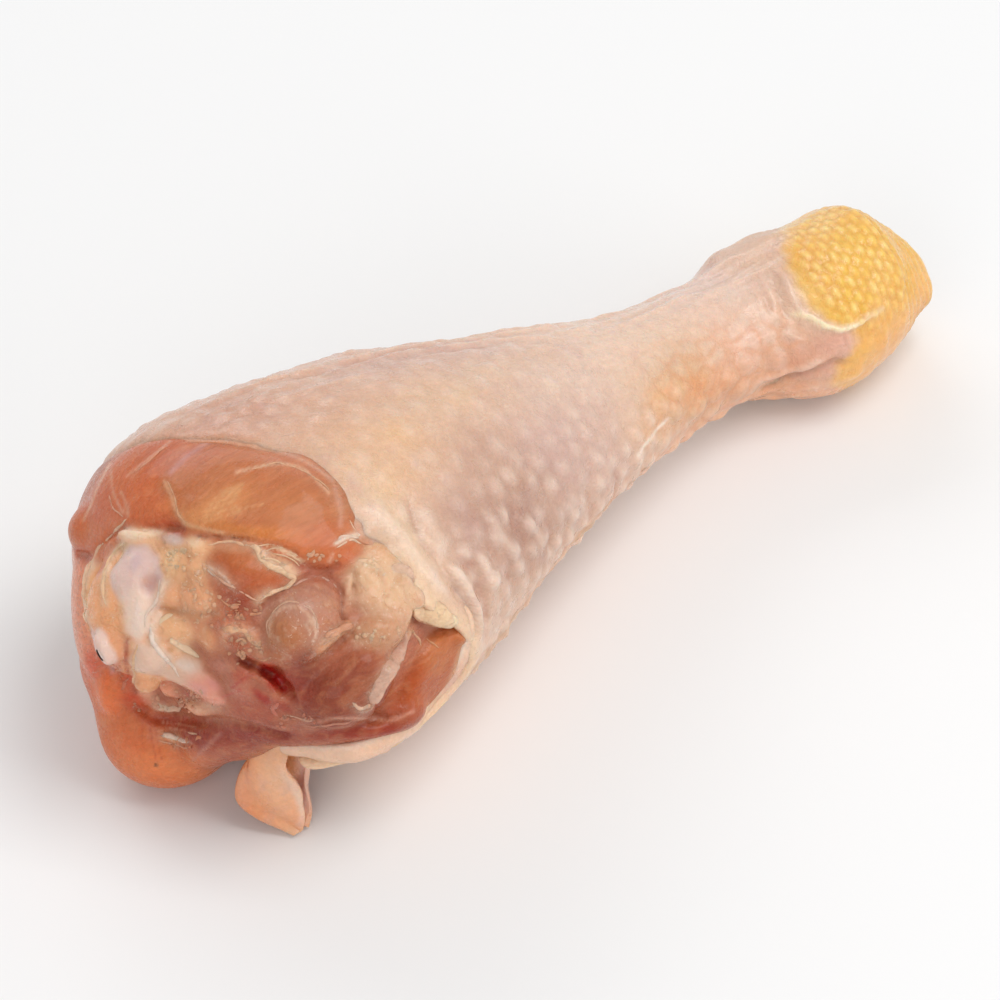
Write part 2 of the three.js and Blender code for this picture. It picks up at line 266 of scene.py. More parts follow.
# ---- Folds and wrinkles that the skin lies in ----
# Each is a line of places (along the leg, turn), its rise and its half width: creases sink
FOLDS = (
    # band drawn up along the cut, with creases on both sides
    (((3.6, 24), (5.6, 32), (6.4, 41), (7, 50), (8.4, 58), (11.2, 69)), 0.7, 1.5),
    (((12, 28), (10.6, 39), (9.8, 47), (11.3, 56), (13.4, 62)), -0.55, 0.9),
    (((13.5, 34), (12.6, 44), (14, 54)), 0.35, 1.2),
    # the cut's rolled edge runs on up into the skin as a fold
    (((10.2, 50), (12.4, 59), (13.6, 67.5), (14.1, 75.2), (14.1, 82.2), (13.6, 90)), 1.15, 0.75),
    (((10.8, 60), (12, 68), (12.5, 76), (12.4, 84)), -0.5, 0.6),
    (((13.2, 54), (15.4, 64), (16.4, 74), (16.4, 86), (15.6, 98)), -0.75, 0.9),
    (((16.4, 58), (18.2, 65.5), (19, 72), (20.2, 80)), 0.65, 0.9),
    (((19, 56), (20.8, 66), (22.4, 76), (23, 90)), -0.45, 0.9),
    # puckers that run round the near side
    (((21.4, 48), (23, 58), (24.6, 70), (25.4, 84)), 0.4, 1),
    (((26, 52), (27.6, 64), (28.6, 78), (28.4, 96)), -0.35, 0.8),
    (((30, 60), (31.6, 74), (31.8, 90)), 0.4, 0.9),
    (((33.4, 66), (34.6, 84), (33.6, 104)), -0.4, 0.8),
    (((38, 66), (40, 84), (39, 104)), 0.35, 0.9),
    (((44, 74), (45.5, 92), (44, 110)), -0.4, 0.8),
    (((48.6, 62), (50, 78), (49.6, 96)), 0.3, 0.8),
    (((51.6, 70), (52.6, 90), (51, 112)), -0.4, 0.8),
    (((57, 80), (58.4, 100), (57, 118)), 0.35, 0.8),
    (((61, 76), (62.4, 94), (61.4, 114)), -0.35, 0.7),
    # long overlapping wrinkles along the top of the calf
    (((-6, -33), (2, -34), (11.7, -36), (17.5, -31), (27, -31), (36, -33.5)), 0.5, 0.55),
    (((10, -31), (18, -27), (28, -27), (34, -29)), -0.35, 0.6),
    (((24, -34), (34, -31), (45.5, -30), (56, -25), (64, -26)), 0.5, 0.55),
    (((20, -23), (28, -25), (38.4, -24), (44, -22), (51, -18), (57, -8)), 0.4, 0.5),
    (((30, -20), (40, -19.5), (48, -15)), -0.3, 0.7),
    (((-4, -26), (4, -24), (12, -25)), 0.3, 0.5),
    (((8, -18), (16, -17), (25, -15.5)), 0.28, 0.5),
    (((30, -40), (44, -40), (56, -38), (70, -40)), 0.4, 0.6),
    (((50, -14), (60, -16), (70, -22)), 0.25, 0.5),
    (((56, -30), (66, -34), (76, -40)), 0.35, 0.5),
    (((62, -6), (72, -12), (86, -20)), 0.3, 0.5),
    (((66, -14), (76, -22), (84, -30)), -0.25, 0.6),
    # the tendon's edge up to the scales
    (((76, -56), (86, -40), (96, -24)), 0.4, 0.8),
    (((80, -24), (90, -16), (97, -10)), -0.25, 0.6),
    (((84, -12), (91, -6), (95.5, 0)), 0.25, 0.5),
    # fold under the torn scales, above the heel pad
    (((86, 116), (88.9, 108), (90.5, 96), (93.3, 89), (96.7, 86), (100, 92)), -0.9, 0.8),
    (((84, 92), (88.6, 88), (92.4, 82), (96.4, 78)), 0.5, 1),
    (((92, 112), (97, 106), (102, 104)), 0.35, 1.2),
    # rings where the pale skin meets the scales
    (((95.6, 4), (94.4, 20), (94, 36), (94.6, 48)), 0.45, 0.5),
    (((94.2, 2), (93, 18), (92.4, 34), (93.2, 48)), -0.3, 0.4),
    (((92.8, 0), (91.6, 18), (91, 34), (91.8, 50)), 0.35, 0.5),
    (((90.8, 6), (89.6, 22), (89.4, 38)), 0.22, 0.5),
    (((90, 48), (91.6, 56), (93.4, 63)), 0.3, 0.5),
    # strip of skin torn up along the scales
    (((93.6, 40), (95, 46), (96.2, 55), (98.2, 62), (100.8, 63.4), (103.4, 62.2), (105.8, 64.4)),
     0.8, 0.42),
)


def chart_distance(x, turn, line):
    """How far places on the leg lie from a line drawn on its skin, and how far along it, 0 to 1."""
    girth = section(x)[2]
    nearest = np.full(np.shape(x), 1e9)
    share = np.zeros(np.shape(x))
    steps = len(line) - 1
    for i, ((x0, turn0), (x1, turn1)) in enumerate(zip(line, line[1:])):
        along = x - x0
        across = np.radians(turn_between(turn, turn0)) * girth
        way_along = x1 - x0
        way_across = np.radians(turn1 - turn0) * girth
        t = (along * way_along + across * way_across) / (way_along**2 + way_across**2)
        t = np.clip(t, 0, 1)
        gap = np.hypot(along - t * way_along, across - t * way_across)
        closer = gap < nearest
        nearest = np.where(closer, gap, nearest)
        share = np.where(closer, (i + t) / steps, share)
    return nearest, share


SCALE_EDGE = np.array([
    (-180, 102), (-120, 104), (-52, 104), (-20, 100.4), (-4, 98), (12, 96.2), (24, 95.8), (40, 95.6),
    (50, 96.4), (58, 98.2), (66, 100), (74, 100.3), (82, 99.3), (88, 97), (104, 96.2), (120, 98.5),
    (134, 102), (180, 102),
])
RING_PITCH = 1.25  # wrinkle rings at both ends of the scales
UNDULATION = ((11.0, 0.32), (4.5, 0.18), (1.9, 0.08))  # size and rise of the skin's uneven swelling


def fold_relief(x, turn):
    """How far the skin's folds stand out, and its creases in."""
    plain = leg_point(x, turn, 0.0)
    wander = 1 + 0.3 * noise(plain, 4.0, 21)
    sway = 0.9 * noise(plain, 6.0, 23)
    total = 0.0
    for line, rise, half_width in FOLDS:
        gap, share = chart_distance(x + sway, turn, line)
        taper = 0.1 + 0.9 * smooth(0.0, 0.25, share) * smooth(1.0, 0.75, share)
        total = total + rise * taper * np.exp(-((gap / (half_width * wander)) ** 2))
    return total


def crinkle(x, turn):
    """Fine wrinkles: along the leg on its top, and round it on its near side."""
    girth = section(x)[2]
    across = np.radians(turn) * girth
    lengthwise = noise(np.stack([x / 5.0, across / 1.3, 0 * x], -1), 1.0, 24)
    round_leg = noise(np.stack([x / 1.7, across / 4.0, 0 * x], -1), 1.0, 25)
    side = smooth(10.0, 50.0, turn)
    return 0.16 * lengthwise * (1 - side) + 0.2 * round_leg * side


def thin_side(turn):
    """1 where the skin's thin edge clings to the calf muscles, 0 elsewhere."""
    return smooth(46.0, 36.0, turn) * smooth(-118.0, -95.0, turn)


def skin_lift(x, turn, edge):
    """How far the skin stands out from the leg's plain form."""
    plain = leg_point(x, turn, 0.0)
    calm = smooth(0.0, 6.0, x - edge)
    lift = sum(rise * noise(plain, size, 10 + i) for i, (size, rise) in enumerate(UNDULATION))
    lift = (lift + crinkle(x, turn)) * (0.35 + 0.65 * calm) - 0.3 + fold_relief(x, turn)
    lift = lift - 0.75 * thin_side(turn) * np.exp(-(np.maximum(0, x - edge) / 1.3) ** 2)
    lift = lift + eased(EDGE_CURL, turn) * np.exp(-(np.maximum(0, x - edge) / CURL_REACH) ** 2)
    # wrinkle rings round the hock, stronger at both ends of the scales
    border = x - eased(SCALE_EDGE, turn)
    wave = np.sin(2 * np.pi * (x + 0.45 * noise(plain, 4.0, 22)) / RING_PITCH)
    rings = smooth(-4.0, -1.0, border) * smooth(3.5, 1.0, border) + 1.6 * smooth(109.5, 113.0, x)
    return lift + 0.1 * wave * rings


KNEE_RADIUS = 28.0
TURNS = 300
CALF_ROWS = 168
HOCK_ROWS = 78
LIP_ROWS = 7
INNER_ROWS = 14

turns = np.linspace(-180, 180, TURNS, endpoint=False)
edge = cut_at(turns)
knee_ring = np.stack([np.cos(np.radians(turns)), np.sin(np.radians(turns)), 0 * turns], -1) * KNEE_RADIUS
edge = edge + 0.45 * noise(knee_ring, 3.0, 31) + 0.2 * noise(knee_ring, 1.2, 32)
edge_thickness = eased(EDGE_THICKNESS, turns)

calf = np.linspace(0, 1, CALF_ROWS, endpoint=False)[:, None]
hock = np.linspace(SCALES_FROM, HOCK_END, HOCK_ROWS)[:, None] + 0 * edge
outer_x = np.vstack([edge + (SCALES_FROM - edge) * calf, hock])
outer_turn = np.broadcast_to(turns, outer_x.shape)
outer = leg_point(outer_x, outer_turn, -skin_lift(outer_x, outer_turn, edge))

inner_share = np.linspace(1, 0, INNER_ROWS)[:, None]
inner_x = edge + (HOCK_END - edge) * inner_share
inner_depth = edge_thickness + (THICKNESS - edge_thickness) * smooth(0.0, 0.12, inner_share)
curl_inside = eased(EDGE_CURL, turns) * np.exp(-((inner_x - edge) / CURL_REACH) ** 2)
inner = leg_point(inner_x, np.broadcast_to(turns, inner_x.shape), inner_depth - curl_inside)


def lip(outside, inside, past):
    """Rows that roll from one face of the skin over its cut edge to the other."""
    middle, half = (outside + inside) / 2, (outside - inside) / 2
    reach = np.linalg.norm(half, axis=-1, keepdims=True)
    angle = np.linspace(0, np.pi, LIP_ROWS + 2)[1:-1, None, None]
    return middle + half * np.cos(angle) + past * reach * np.sin(angle)


def along_edge(row):
    """The way a row of points runs, at each of them."""
    step = np.roll(row, -1, axis=0) - np.roll(row, 1, axis=0)
    return step / np.linalg.norm(step, axis=-1, keepdims=True)


def past_edge(row, next_row):
    """Directions in the skin's face that point off its edge."""
    way = row - next_row
    side = along_edge(row)
    way = way - side * np.sum(way * side, axis=-1, keepdims=True)
    return way / np.linalg.norm(way, axis=-1, keepdims=True)


knee_lip = lip(inner[-1], outer[0], past_edge(outer[0], outer[3]))
hock_lip = lip(outer[-1], inner[0], past_edge(outer[-1], outer[-4]))
rows = np.concatenate([outer, hock_lip, inner, knee_lip])
rows[..., 2] = np.maximum(rows[..., 2], JUST_OVER_BOARD)
row_x, row_turn = rows[..., 0], np.broadcast_to(turns, rows.shape[:2])
outer_rows = len(outer)
on_outside = np.zeros(rows.shape[:2])
on_outside[:outer_rows] = 1.0


# ---- Where it is pimpled, pebbled and scaled ----
border = row_x - (eased(SCALE_EDGE, row_turn) + 0.5 * noise(rows, 2.2, 33))
scaled = smooth(-1.2, 1.3, border)
off_edge = smooth(1.0, 7.0, row_x - edge)
lower_side = smooth(20.0, 75.0, row_turn) * smooth(175.0, 130.0, row_turn)
feathered = on_outside * off_edge * smooth(78.0, 60.0, row_x) * (0.5 + 0.5 * lower_side)
pebbled = on_outside * smooth(56.0, 72.0, row_x) * smooth(96.0, 90.0, row_x) * (1 - scaled)
pebbled = pebbled * (0.15 + 0.85 * smooth(5.0, 55.0, row_turn) * smooth(160.0, 125.0, row_turn))
sharp_scales = on_outside * scaled * smooth(116.5, 111.0, row_x) * smooth(0.4, 2.6, border)
clearest = smooth(-50, -5, row_turn) * smooth(84, 58, row_turn) * smooth(117, 110, row_x)
sharp_scales = sharp_scales * (0.2 + 0.8 * clearest)

FOLLICLE_PITCH = (3.5, 4.5)  # along the leg and round it
FEATHERED_LENGTH, FEATHERED_GIRTH = 165.0, 200.0
SCALE_PITCH = 1.45
SCALE_ROWS, SCALES_ROUND = 38, 34
girth = section(row_x)[2]
follicle_chart = np.stack([
    (row_x + 40) / FOLLICLE_PITCH[0],
    (np.radians(row_turn) * girth + 100) / FOLLICLE_PITCH[1],
    0 * row_x,
], -1)
profile_length = np.concatenate([[0], np.cumsum(np.hypot(np.diff(leg_line[:, 0]), np.diff(leg_line[:, 2])))])
along_skin = np.interp(row_x, leg_line[:, 0], profile_length)
along_skin = along_skin - np.interp(SCALES_FROM, leg_line[:, 0], profile_length)
round_hock = (row_turn + 180) / 360 * SCALES_ROUND + 1
scale_chart = np.stack([along_skin / SCALE_PITCH + 4, round_hock, 0 * row_x], -1)


# ---- Its colours ----
# Patches of colour: place along the leg, turn, half length, half width, tilt, colour, strength
SKIN_BASE = "#DBB59B"
SKIN_PATCHES = (
    (2, -24, 20, 13, 0, "#C58E76", 0.9),  # far top of the calf, over red meat
    (30, -22, 16, 9, 0, "#D4AD9C", 0.8),
    (20, -50, 40, 9, 0, "#D9A78D", 0.8),
    (42, -18, 9, 4, 0, "#C9A69C", 0.7),  # mauve beside the long wrinkles
    (26, -21, 8, 3, 0, "#CBA698", 0.6),
    (62, -25, 18, 10, 0, "#E4C6B4", 0.8),
    (84, -25, 9, 10, 0, "#E5CABF", 0.9),
    (10, 8, 9, 9, 20, "#D7A988", 0.6),  # yellow fat shows through
    (14, 24, 8, 6, 30, "#E2B58E", 0.7),
    (26, 6, 9, 5, 0, "#DEB795", 0.5),
    (17, 14, 3.5, 2.4, 20, "#E6B684", 0.6),
    (9.5, 26, 3, 2.6, 20, "#E7B888", 0.6),
    (31, 12, 3, 2, 0, "#E5BE93", 0.5),
    (40, 4, 7, 4, 0, "#DFC0A6", 0.5),
    (34, 24, 8, 4, 10, "#DDB9A2", 0.5),
    (20, 44, 8, 6, 20, "#C8A190", 0.7),
    (24, 62, 10, 10, 20, "#B88D7B", 0.85),  # mauve where the meat shows through
    (34, 70, 11, 12, 0, "#A67660", 0.85),
    (45, 56, 11, 8, -10, "#C29C90", 0.8),
    (52, 74, 9, 8, 0, "#CBA596", 0.65),
    (41, 40, 8, 5, 0, "#D5B3A8", 0.6),
    (48, 22, 7, 4, 0, "#E2C5B2", 0.6),
    (58, 35, 10, 6, 0, "#DFC1B2", 0.6),
    (7, 44, 3, 12, 0, "#E8C6A2", 0.75),  # fatty band along the cut
    (70, 14, 13, 8, 0, "#ECD0BD", 0.8),
    (72, 60, 12, 8, 0, "#D9B187", 0.85),  # pebbled shank
    (73, 64, 3, 2, 0, "#DD9040", 0.85),
    (67, 58, 3.4, 2, 0, "#EDB782", 0.75),
    (78, 70, 2.4, 1.6, 0, "#E2A374", 0.7),
    (62, 74, 4, 2.4, 0, "#EAB78E", 0.6),
    (66, 72, 6, 3, 0, "#D29861", 0.5),
    (84, 45, 6, 7, 0, "#ECC6B2", 0.8),
    (80, 82, 7, 4, 0, "#DD9B70", 0.7),
    (93.5, 78, 6, 4.4, 0, "#D69C82", 0.95),  # raw skin under the torn scales
    (98, 72, 2.4, 2.4, 0, "#E0AB95", 0.9),
    (92, 92, 6, 1.6, 0, "#D29E86", 0.9),
    (96, 122, 8, 4.5, 0, "#EBA988", 0.9),  # heel pad
    (92, 140, 8, 5, 0, "#E9B396", 0.7),
)
# The near lower side is painted peach as a glow of light shining through the skin, and the side
# that lies on the floor is paler
UNDERSIDE = ((92.0, 124.0, "#F0B48C"), (140.0, 168.0, "#E6C0A4"))
SCALE_PATCHES = (
    (106, 20, 14, 12, 0, "#F1C65B", 1),
    (101, 40, 6, 6, 0, "#F0BD48", 0.9),
    (99, 8, 2, 7, 0, "#EAAF4C", 0.8),
    (101, -12, 3, 5, 0, "#E8A84E", 0.8),
    (108, -6, 6, 3, 0, "#F0BC62", 0.7),
    (108, -34, 9, 7, 0, "#F3C688", 0.9),
    (102, -34, 4, 4, 0, "#F1D4B0", 0.8),
    (116, 20, 3, 26, 0, "#F2B95E", 0.9),
    (112, 62, 5, 6, 0, "#EDB647", 0.8),
    (104, 76, 5, 4, 0, "#EAAD53", 0.95),
    (106, 92, 9, 6, 0, "#EBAD57", 0.95),
    (108, 120, 10, 8, 0, "#F3B384", 0.9),
)
SCALE_BASE = "#EFBB5E"
SCRATCH = ((57.5, 84.0), (61.0, 79.5), (65.5, 75.5))  # along the leg, turn
INSIDE_COLOUR = "#DFA888"


def patched(colours, x, turn, patches):
    """Lays soft patches of colour over the ones that are there."""
    girth = section(x)[2]
    ragged = 1 + 0.3 * noise(np.stack([x, np.radians(turn) * girth, 0 * x], -1), 4.0, 41)
    for at, round_at, length, width, tilt, colour, strength in patches:
        along = x - at
        across = np.radians(turn_between(turn, round_at)) * girth
        slant = math.radians(tilt)
        u = (along * math.cos(slant) + across * math.sin(slant)) / length
        v = (across * math.cos(slant) - along * math.sin(slant)) / width
        share = strength * np.exp(-((u * u + v * v) * ragged))
        colours = laid_over(colours, colour, share)
    return colours


skin_hues = patched(np.broadcast_to(linear(SKIN_BASE), rows.shape), row_x, row_turn, SKIN_PATCHES)
# painted glow of light through the near lower side, and the paler side on the floor
for start, end, colour in UNDERSIDE:
    share = smooth(start, end, np.abs(row_turn) if start > 130 else row_turn)
    skin_hues = laid_over(skin_hues, colour, 0.9 * share)
scale_hues = patched(np.broadcast_to(linear(SCALE_BASE), rows.shape), row_x, row_turn, SCALE_PATCHES)
skin_hues = laid_over(skin_hues, scale_hues, scaled)
relief = fold_relief(row_x, row_turn) * on_outside
torn, _ = chart_distance(row_x, row_turn, FOLDS[-1][0])
scratch, _ = chart_distance(row_x, row_turn, SCRATCH)
from_edge = row_x - edge
for colour, share in (
    ("#F2D9C6", 0.55 * smooth(0.1, 0.6, relief)),  # painted highlight on the folds
    ("#BE8670", 0.5 * smooth(-0.1, -0.6, relief)),  # painted shade in the creases, reddish
    ("#F8E6BE", 0.9 * np.exp(-((torn / 0.5) ** 2)) * on_outside),
    ("#F8EBDC", 0.85 * np.exp(-((scratch / 0.35) ** 2)) * on_outside),
    ("#CF9474", 0.6 * (smooth(4.5, 0.0, from_edge) * thin_side(row_turn))),  # thin edge over the meat
    ("#C97F58", 0.9 * (smooth(1.6, 0.2, from_edge) * thin_side(row_turn))),
    ("#E8C29E", 0.85 * (smooth(3.5, 0.0, from_edge) * smooth(42.0, 58.0, row_turn)
                        * smooth(170.0, 140.0, row_turn))),  # fatty curled edge
):
    skin_hues = laid_over(skin_hues, colour, share)
skin_hues[outer_rows + LIP_ROWS:outer_rows + LIP_ROWS + INNER_ROWS - 2] = linear(INSIDE_COLOUR)

skin = piece_from(
    "skin", rows.reshape(-1, 3), ring_faces(len(rows), TURNS, True), skin_hues.reshape(-1, 3),
    feathered=feathered.ravel(), pebbled=pebbled.ravel(), scaled=scaled.ravel(),
    sharp_scales=sharp_scales.ravel(), follicle_chart=follicle_chart.reshape(-1, 3),
    scale_chart=scale_chart.reshape(-1, 3),
)


# ---- Bumps in staggered rows: feather follicles, and the hock's scales ----


def new_tree(name, inputs):
    """An empty Geometry Nodes tree with a mesh in and out, and named inputs with their defaults."""
    kinds = {float: "NodeSocketFloat", int: "NodeSocketInt", str: "NodeSocketString"}
    tree = bpy.data.node_groups.new(name, "GeometryNodeTree")
    tree.interface.new_socket("Mesh", in_out="INPUT", socket_type="NodeSocketGeometry")
    for label, value in inputs.items():
        made = tree.interface.new_socket(label, in_out="INPUT", socket_type=kinds[type(value)])
        made.default_value = value
    tree.interface.new_socket("Finish", in_out="INPUT", socket_type="NodeSocketMaterial")
    tree.interface.new_socket("Mesh", in_out="OUTPUT", socket_type="NodeSocketGeometry")
    return tree, tree.nodes.new("NodeGroupInput").outputs


def product(tree, first, *others):
    """All the values multiplied together, in their order."""
    for other in others:
        first = add(tree, "Math", first, other, operation="MULTIPLY")
    return first


def lift_out(tree, given, height, geometry):
    """Moves each point along its normal by the height there, and closes the tree: what it made
    is realized, gets its finish and goes out."""
    offset = add(tree, "VectorMath", add(tree, "InputNormal"), Scale=height, operation="SCALE")
    moved = add(tree, "SetPosition", geometry, Offset=offset)
    done = add(tree, "SetMaterial", add(tree, "RealizeInstances", moved), Material=given["Finish"])
    tree.links.new(done, tree.nodes.new("NodeGroupOutput").inputs[0])
    return tree


def bump_rows_tree():
    """Lifts a bump round each point of a staggered lattice, laid out in the chart attribute."""
    tree, given = new_tree("Rows of bumps", {
        "Chart": "chart", "Mask": "mask", "Mark": "mark", "Tone": "tone", "Rows": 20, "Columns": 20,
        "Jitter": 0.2, "Reach": 0.5, "Core": 0.0, "Rise": 0.3, "Unevenness": 0.5, "Seed": 1,
    })

    def lattice_cell(number):
        """A lattice point's row and column, and a name that is the same on both sides of the seam."""
        whole = add(tree, "Math", number, given["Columns"], operation="DIVIDE")
        row = add(tree, "Math", whole, operation="FLOOR")
        column = add(tree, "Math", number, product(tree, row, given["Columns"]), operation="SUBTRACT")
        period = add(tree, "Math", given["Columns"], 2, operation="SUBTRACT")
        wrapped = add(tree, "Math", column, period, operation="FLOORED_MODULO")
        return row, column, add(tree, "Math", product(tree, row, period), wrapped, operation="ADD")

    def draw(name, low, high, step):
        """A random number for a lattice point, drawn from its name."""
        seed = add(tree, "Math", given["Seed"], step, operation="ADD")
        return add(tree, "RandomValue", low, high, ID=name, Seed=seed, data_type="FLOAT")

    row, column, name = lattice_cell(add(tree, "InputIndex"))
    odd = add(tree, "Math", row, 2, operation="FLOORED_MODULO")
    across = add(tree, "Math", column, product(tree, odd, 0.5), operation="ADD")
    place = add(
        tree, "CombineXYZ",
        add(tree, "Math", draw(name, -1.0, 1.0, 0), given["Jitter"], row, operation="MULTIPLY_ADD"),
        add(tree, "Math", draw(name, -1.0, 1.0, 1), given["Jitter"], across, operation="MULTIPLY_ADD"),
    )
    lattice = add(tree, "Points", product(tree, given["Rows"], given["Columns"]), place)
    chart = add(tree, "InputNamedAttribute", given["Chart"], data_type="FLOAT_VECTOR")
    gap = add(tree, "Proximity", lattice, Sample_Position=chart, target_element="POINTS", out="Distance")
    nearest = add(tree, "SampleNearest", lattice, chart, domain="POINT")
    tone = draw(lattice_cell(nearest)[2], 0.0, 1.0, 2)
    round_top = add(tree, "MapRange", gap, given["Reach"], given["Core"], 0.0, 1.0,
                    interpolation_type="SMOOTHSTEP")
    mask = add(tree, "InputNamedAttribute", given["Mask"], data_type="FLOAT")
    lessened = add(tree, "Math", 1.0, product(tree, tone, given["Unevenness"]), operation="SUBTRACT")
    mark = product(tree, round_top, mask, lessened)
    marked = given["Mesh"]
    for label, value in (("Mark", mark), ("Tone", tone)):
        marked = add(tree, "StoreNamedAttribute", marked, Name=given[label], Value=value,
                     data_type="FLOAT", domain="POINT")
    return lift_out(tree, given, product(tree, mark, product(tree, given["Rise"], MM)), marked)


def pebbles_tree():
    """Swells a surface into round lobules of fat, with creases between them."""
    tree, given = new_tree("Pebbled fat", {
        "Mask": "mask", "Mark": "mark", "Size": 3.2, "Rise": 0.4, "Crease": 0.25,
    })
    cell = {
        "Vector": add(tree, "InputPosition"), "Randomness": 0.9, "out": "Distance",
        "Scale": add(tree, "Math", 1 / MM, given["Size"], operation="DIVIDE"),
    }
    gap = add(tree, "TexVoronoi", Smoothness=0.25, feature="SMOOTH_F1", **cell)
    lobule = add(tree, "MapRange", gap, 0.75, 0.1, 0.0, 1.0, interpolation_type="SMOOTHERSTEP")
    wall = add(tree, "TexVoronoi", feature="DISTANCE_TO_EDGE", **cell)
    seam = add(tree, "MapRange", wall, given["Crease"], 0.0, 0.0, 1.0, interpolation_type="SMOOTHSTEP")
    mask = add(tree, "InputNamedAttribute", given["Mask"], data_type="FLOAT")
    marked = add(tree, "StoreNamedAttribute", given["Mesh"], Name=given["Mark"],
                 Value=product(tree, seam, mask), data_type="FLOAT", domain="POINT")
    return lift_out(tree, given, product(tree, lobule, mask, given["Rise"], MM), marked)


# ---- Raw chicken skin: moist collagen over fat, translucent, with a greasy shine ----


def surface(name, subsurface, radius, **settings):
    """A material with its Principled shader; radius is how far light travels inside, in mm."""
    made = bpy.data.materials.new(name)
    made.use_nodes = True
    tree = made.node_tree
    shader = tree.nodes["Principled BSDF"]
    shader.inputs["Subsurface Weight"].default_value = subsurface
    shader.inputs["Subsurface Radius"].default_value = radius
    shader.inputs["Subsurface Scale"].default_value = MM
    for key, value in settings.items():
        shader.inputs[key.replace("_", " ")].default_value = value
    return made, tree, shader


def marks_on(tree, *names):
    """A mesh's own colour, and the attributes that say how much of each kind of surface it is."""
    hue = add(tree, "Attribute", attribute_name="hue", out="Color")
    return hue, *(add(tree, "Attribute", attribute_name=name, out="Fac") for name in names)


def mottle(tree, vector, size, between=(), detail=3.0, roughness=0.5, distortion=0.0, give=(0.0, 1.0)):
    """Noise that changes over about size millimetres. Between two of its heights it rises
    smoothly from one given value to the other."""
    cloud = add(tree, "TexNoise", Vector=vector, Scale=1 / (size * MM), Detail=detail,
                Roughness=roughness, Distortion=distortion)
    if not between:
        return cloud
    return add(tree, "MapRange", cloud, *between, *give, interpolation_type="SMOOTHSTEP")


def tint(tree, under, over, *shares, blend="MIX"):
    """One colour over another, as strongly as the shares multiplied together say."""
    colours = [(*linear(c), 1) if isinstance(c, str) else c for c in (under, over)]
    return add(tree, "Mix", product(tree, *shares), *colours, data_type="RGBA", blend_type=blend)


def finish_with(tree, shader, colour, rough, *reliefs):
    """Gives a shader its colour and roughness, and tilts its surface by height maps laid over
    each other, each with its full height in millimetres."""
    tree.links.new(colour, shader.inputs["Base Color"])
    if rough is not None:
        tree.links.new(rough, shader.inputs["Roughness"])
    tilt = {}
    for height, depth in reliefs:
        tilt["Normal"] = add(tree, "Bump", Height=height, Strength=1.0, Distance=depth * MM, **tilt)
    tree.links.new(tilt["Normal"], shader.inputs["Normal"])


def skin_material():
    """Raw chicken skin: its colour comes from the fat and meat behind it, and wet grease gives it
    broad soft highlights. Scales are drier and harder, painted paler on their tops as a highlight
    and darker in their grooves as shade."""
    made, tree, shader = surface("raw chicken skin", 0.4, (1.5, 0.8, 0.5), IOR=1.4,
                                 Coat_Weight=0.4, Coat_Roughness=0.16)
    place = add(tree, "TexCoord", out="Object")
    colour, follicle, scale_top, scaled, sharp, seam, tone = marks_on(
        tree, "follicle", "scale_top", "scaled", "sharp_scales", "pebble_seam", "scale_tone")
    # blotches of blood and fat under the skin, a few millimetres across
    colour = tint(tree, colour, "#EBC7AC", mottle(tree, place, 7.0, (0.35, 0.7)), 0.22)
    bluish = mottle(tree, place, 4.3, (0.52, 0.75), 4.0, 0.6)
    unscaled = add(tree, "Math", 1.0, scaled, operation="SUBTRACT")
    colour = tint(tree, colour, "#C9A09A", bluish, unscaled, 0.28)
    # pale plugs of fat in the follicles, and orange painted shade in the creases of the shank
    colour = tint(tree, colour, "#EED7C6", follicle, 0.6)
    colour = tint(tree, colour, "#DB9466", seam, 0.45)
    # scales: pale yellow tops, paler still as a painted highlight, and ochre grooves darkened as
    # painted shade
    yellow = add(tree, "MapRange", tone, 0.0, 1.0, 0.0, 1.0, interpolation_type="SMOOTHSTEP")
    colour = tint(tree, colour, tint(tree, "#F9DC8E", "#F5C85F", yellow), scale_top, 0.7)
    groove = add(tree, "Math", 1.0, scale_top, operation="SUBTRACT")
    colour = tint(tree, colour, "#DC9A34", groove, sharp, 0.5)
    # fine mottling
    speck = mottle(tree, place, 0.9, (0.3, 0.75), 4.0, 0.65, give=(0.94, 1.05))
    colour = tint(tree, colour, add(tree, "CombineColor", speck, speck, speck), 1.0, blend="MULTIPLY")
    rough = mottle(tree, place, 2.4, (0.35, 0.7), give=(0.26, 0.46))
    # fine net of wrinkles, 0.8 mm across, over soft puckers
    net = add(tree, "TexVoronoi", Vector=place, Scale=1 / (0.8 * MM), Randomness=1.0,
              feature="DISTANCE_TO_EDGE", out="Distance")
    net = add(tree, "MapRange", net, 0.0, 0.16, 0.0, 1.0, interpolation_type="SMOOTHSTEP")
    pucker = mottle(tree, place, 1.7, (), 3.0, 0.55, 0.4)
    finish_with(tree, shader, colour, rough, (net, 0.025), (pucker, 0.35))
    return made


skin_finish = skin_material()
rows_of_bumps, pebbled_fat = bump_rows_tree(), pebbles_tree()
follicle_rows = int(FEATHERED_LENGTH / FOLLICLE_PITCH[0])
follicle_columns = int(FEATHERED_GIRTH / FOLLICLE_PITCH[1])
modifier(skin, rows_of_bumps, Chart="follicle_chart", Mask="feathered", Mark="follicle",
         Tone="follicle_tone", Rows=follicle_rows, Columns=follicle_columns, Jitter=0.26, Reach=0.56,
         Core=0.0, Rise=0.62, Unevenness=0.7, Seed=5, Finish=skin_finish)
modifier(skin, pebbled_fat, Mask="pebbled", Mark="pebble_seam", Size=3.6, Rise=0.6, Crease=0.2,
         Finish=skin_finish)
modifier(skin, rows_of_bumps, Chart="scale_chart", Mask="sharp_scales", Mark="scale_top",
         Tone="scale_tone", Rows=SCALE_ROWS, Columns=SCALES_ROUND + 2, Jitter=0.1, Reach=0.62,
         Core=0.1, Rise=0.3, Unevenness=0.25, Seed=9, Finish=skin_finish)
settle(skin)
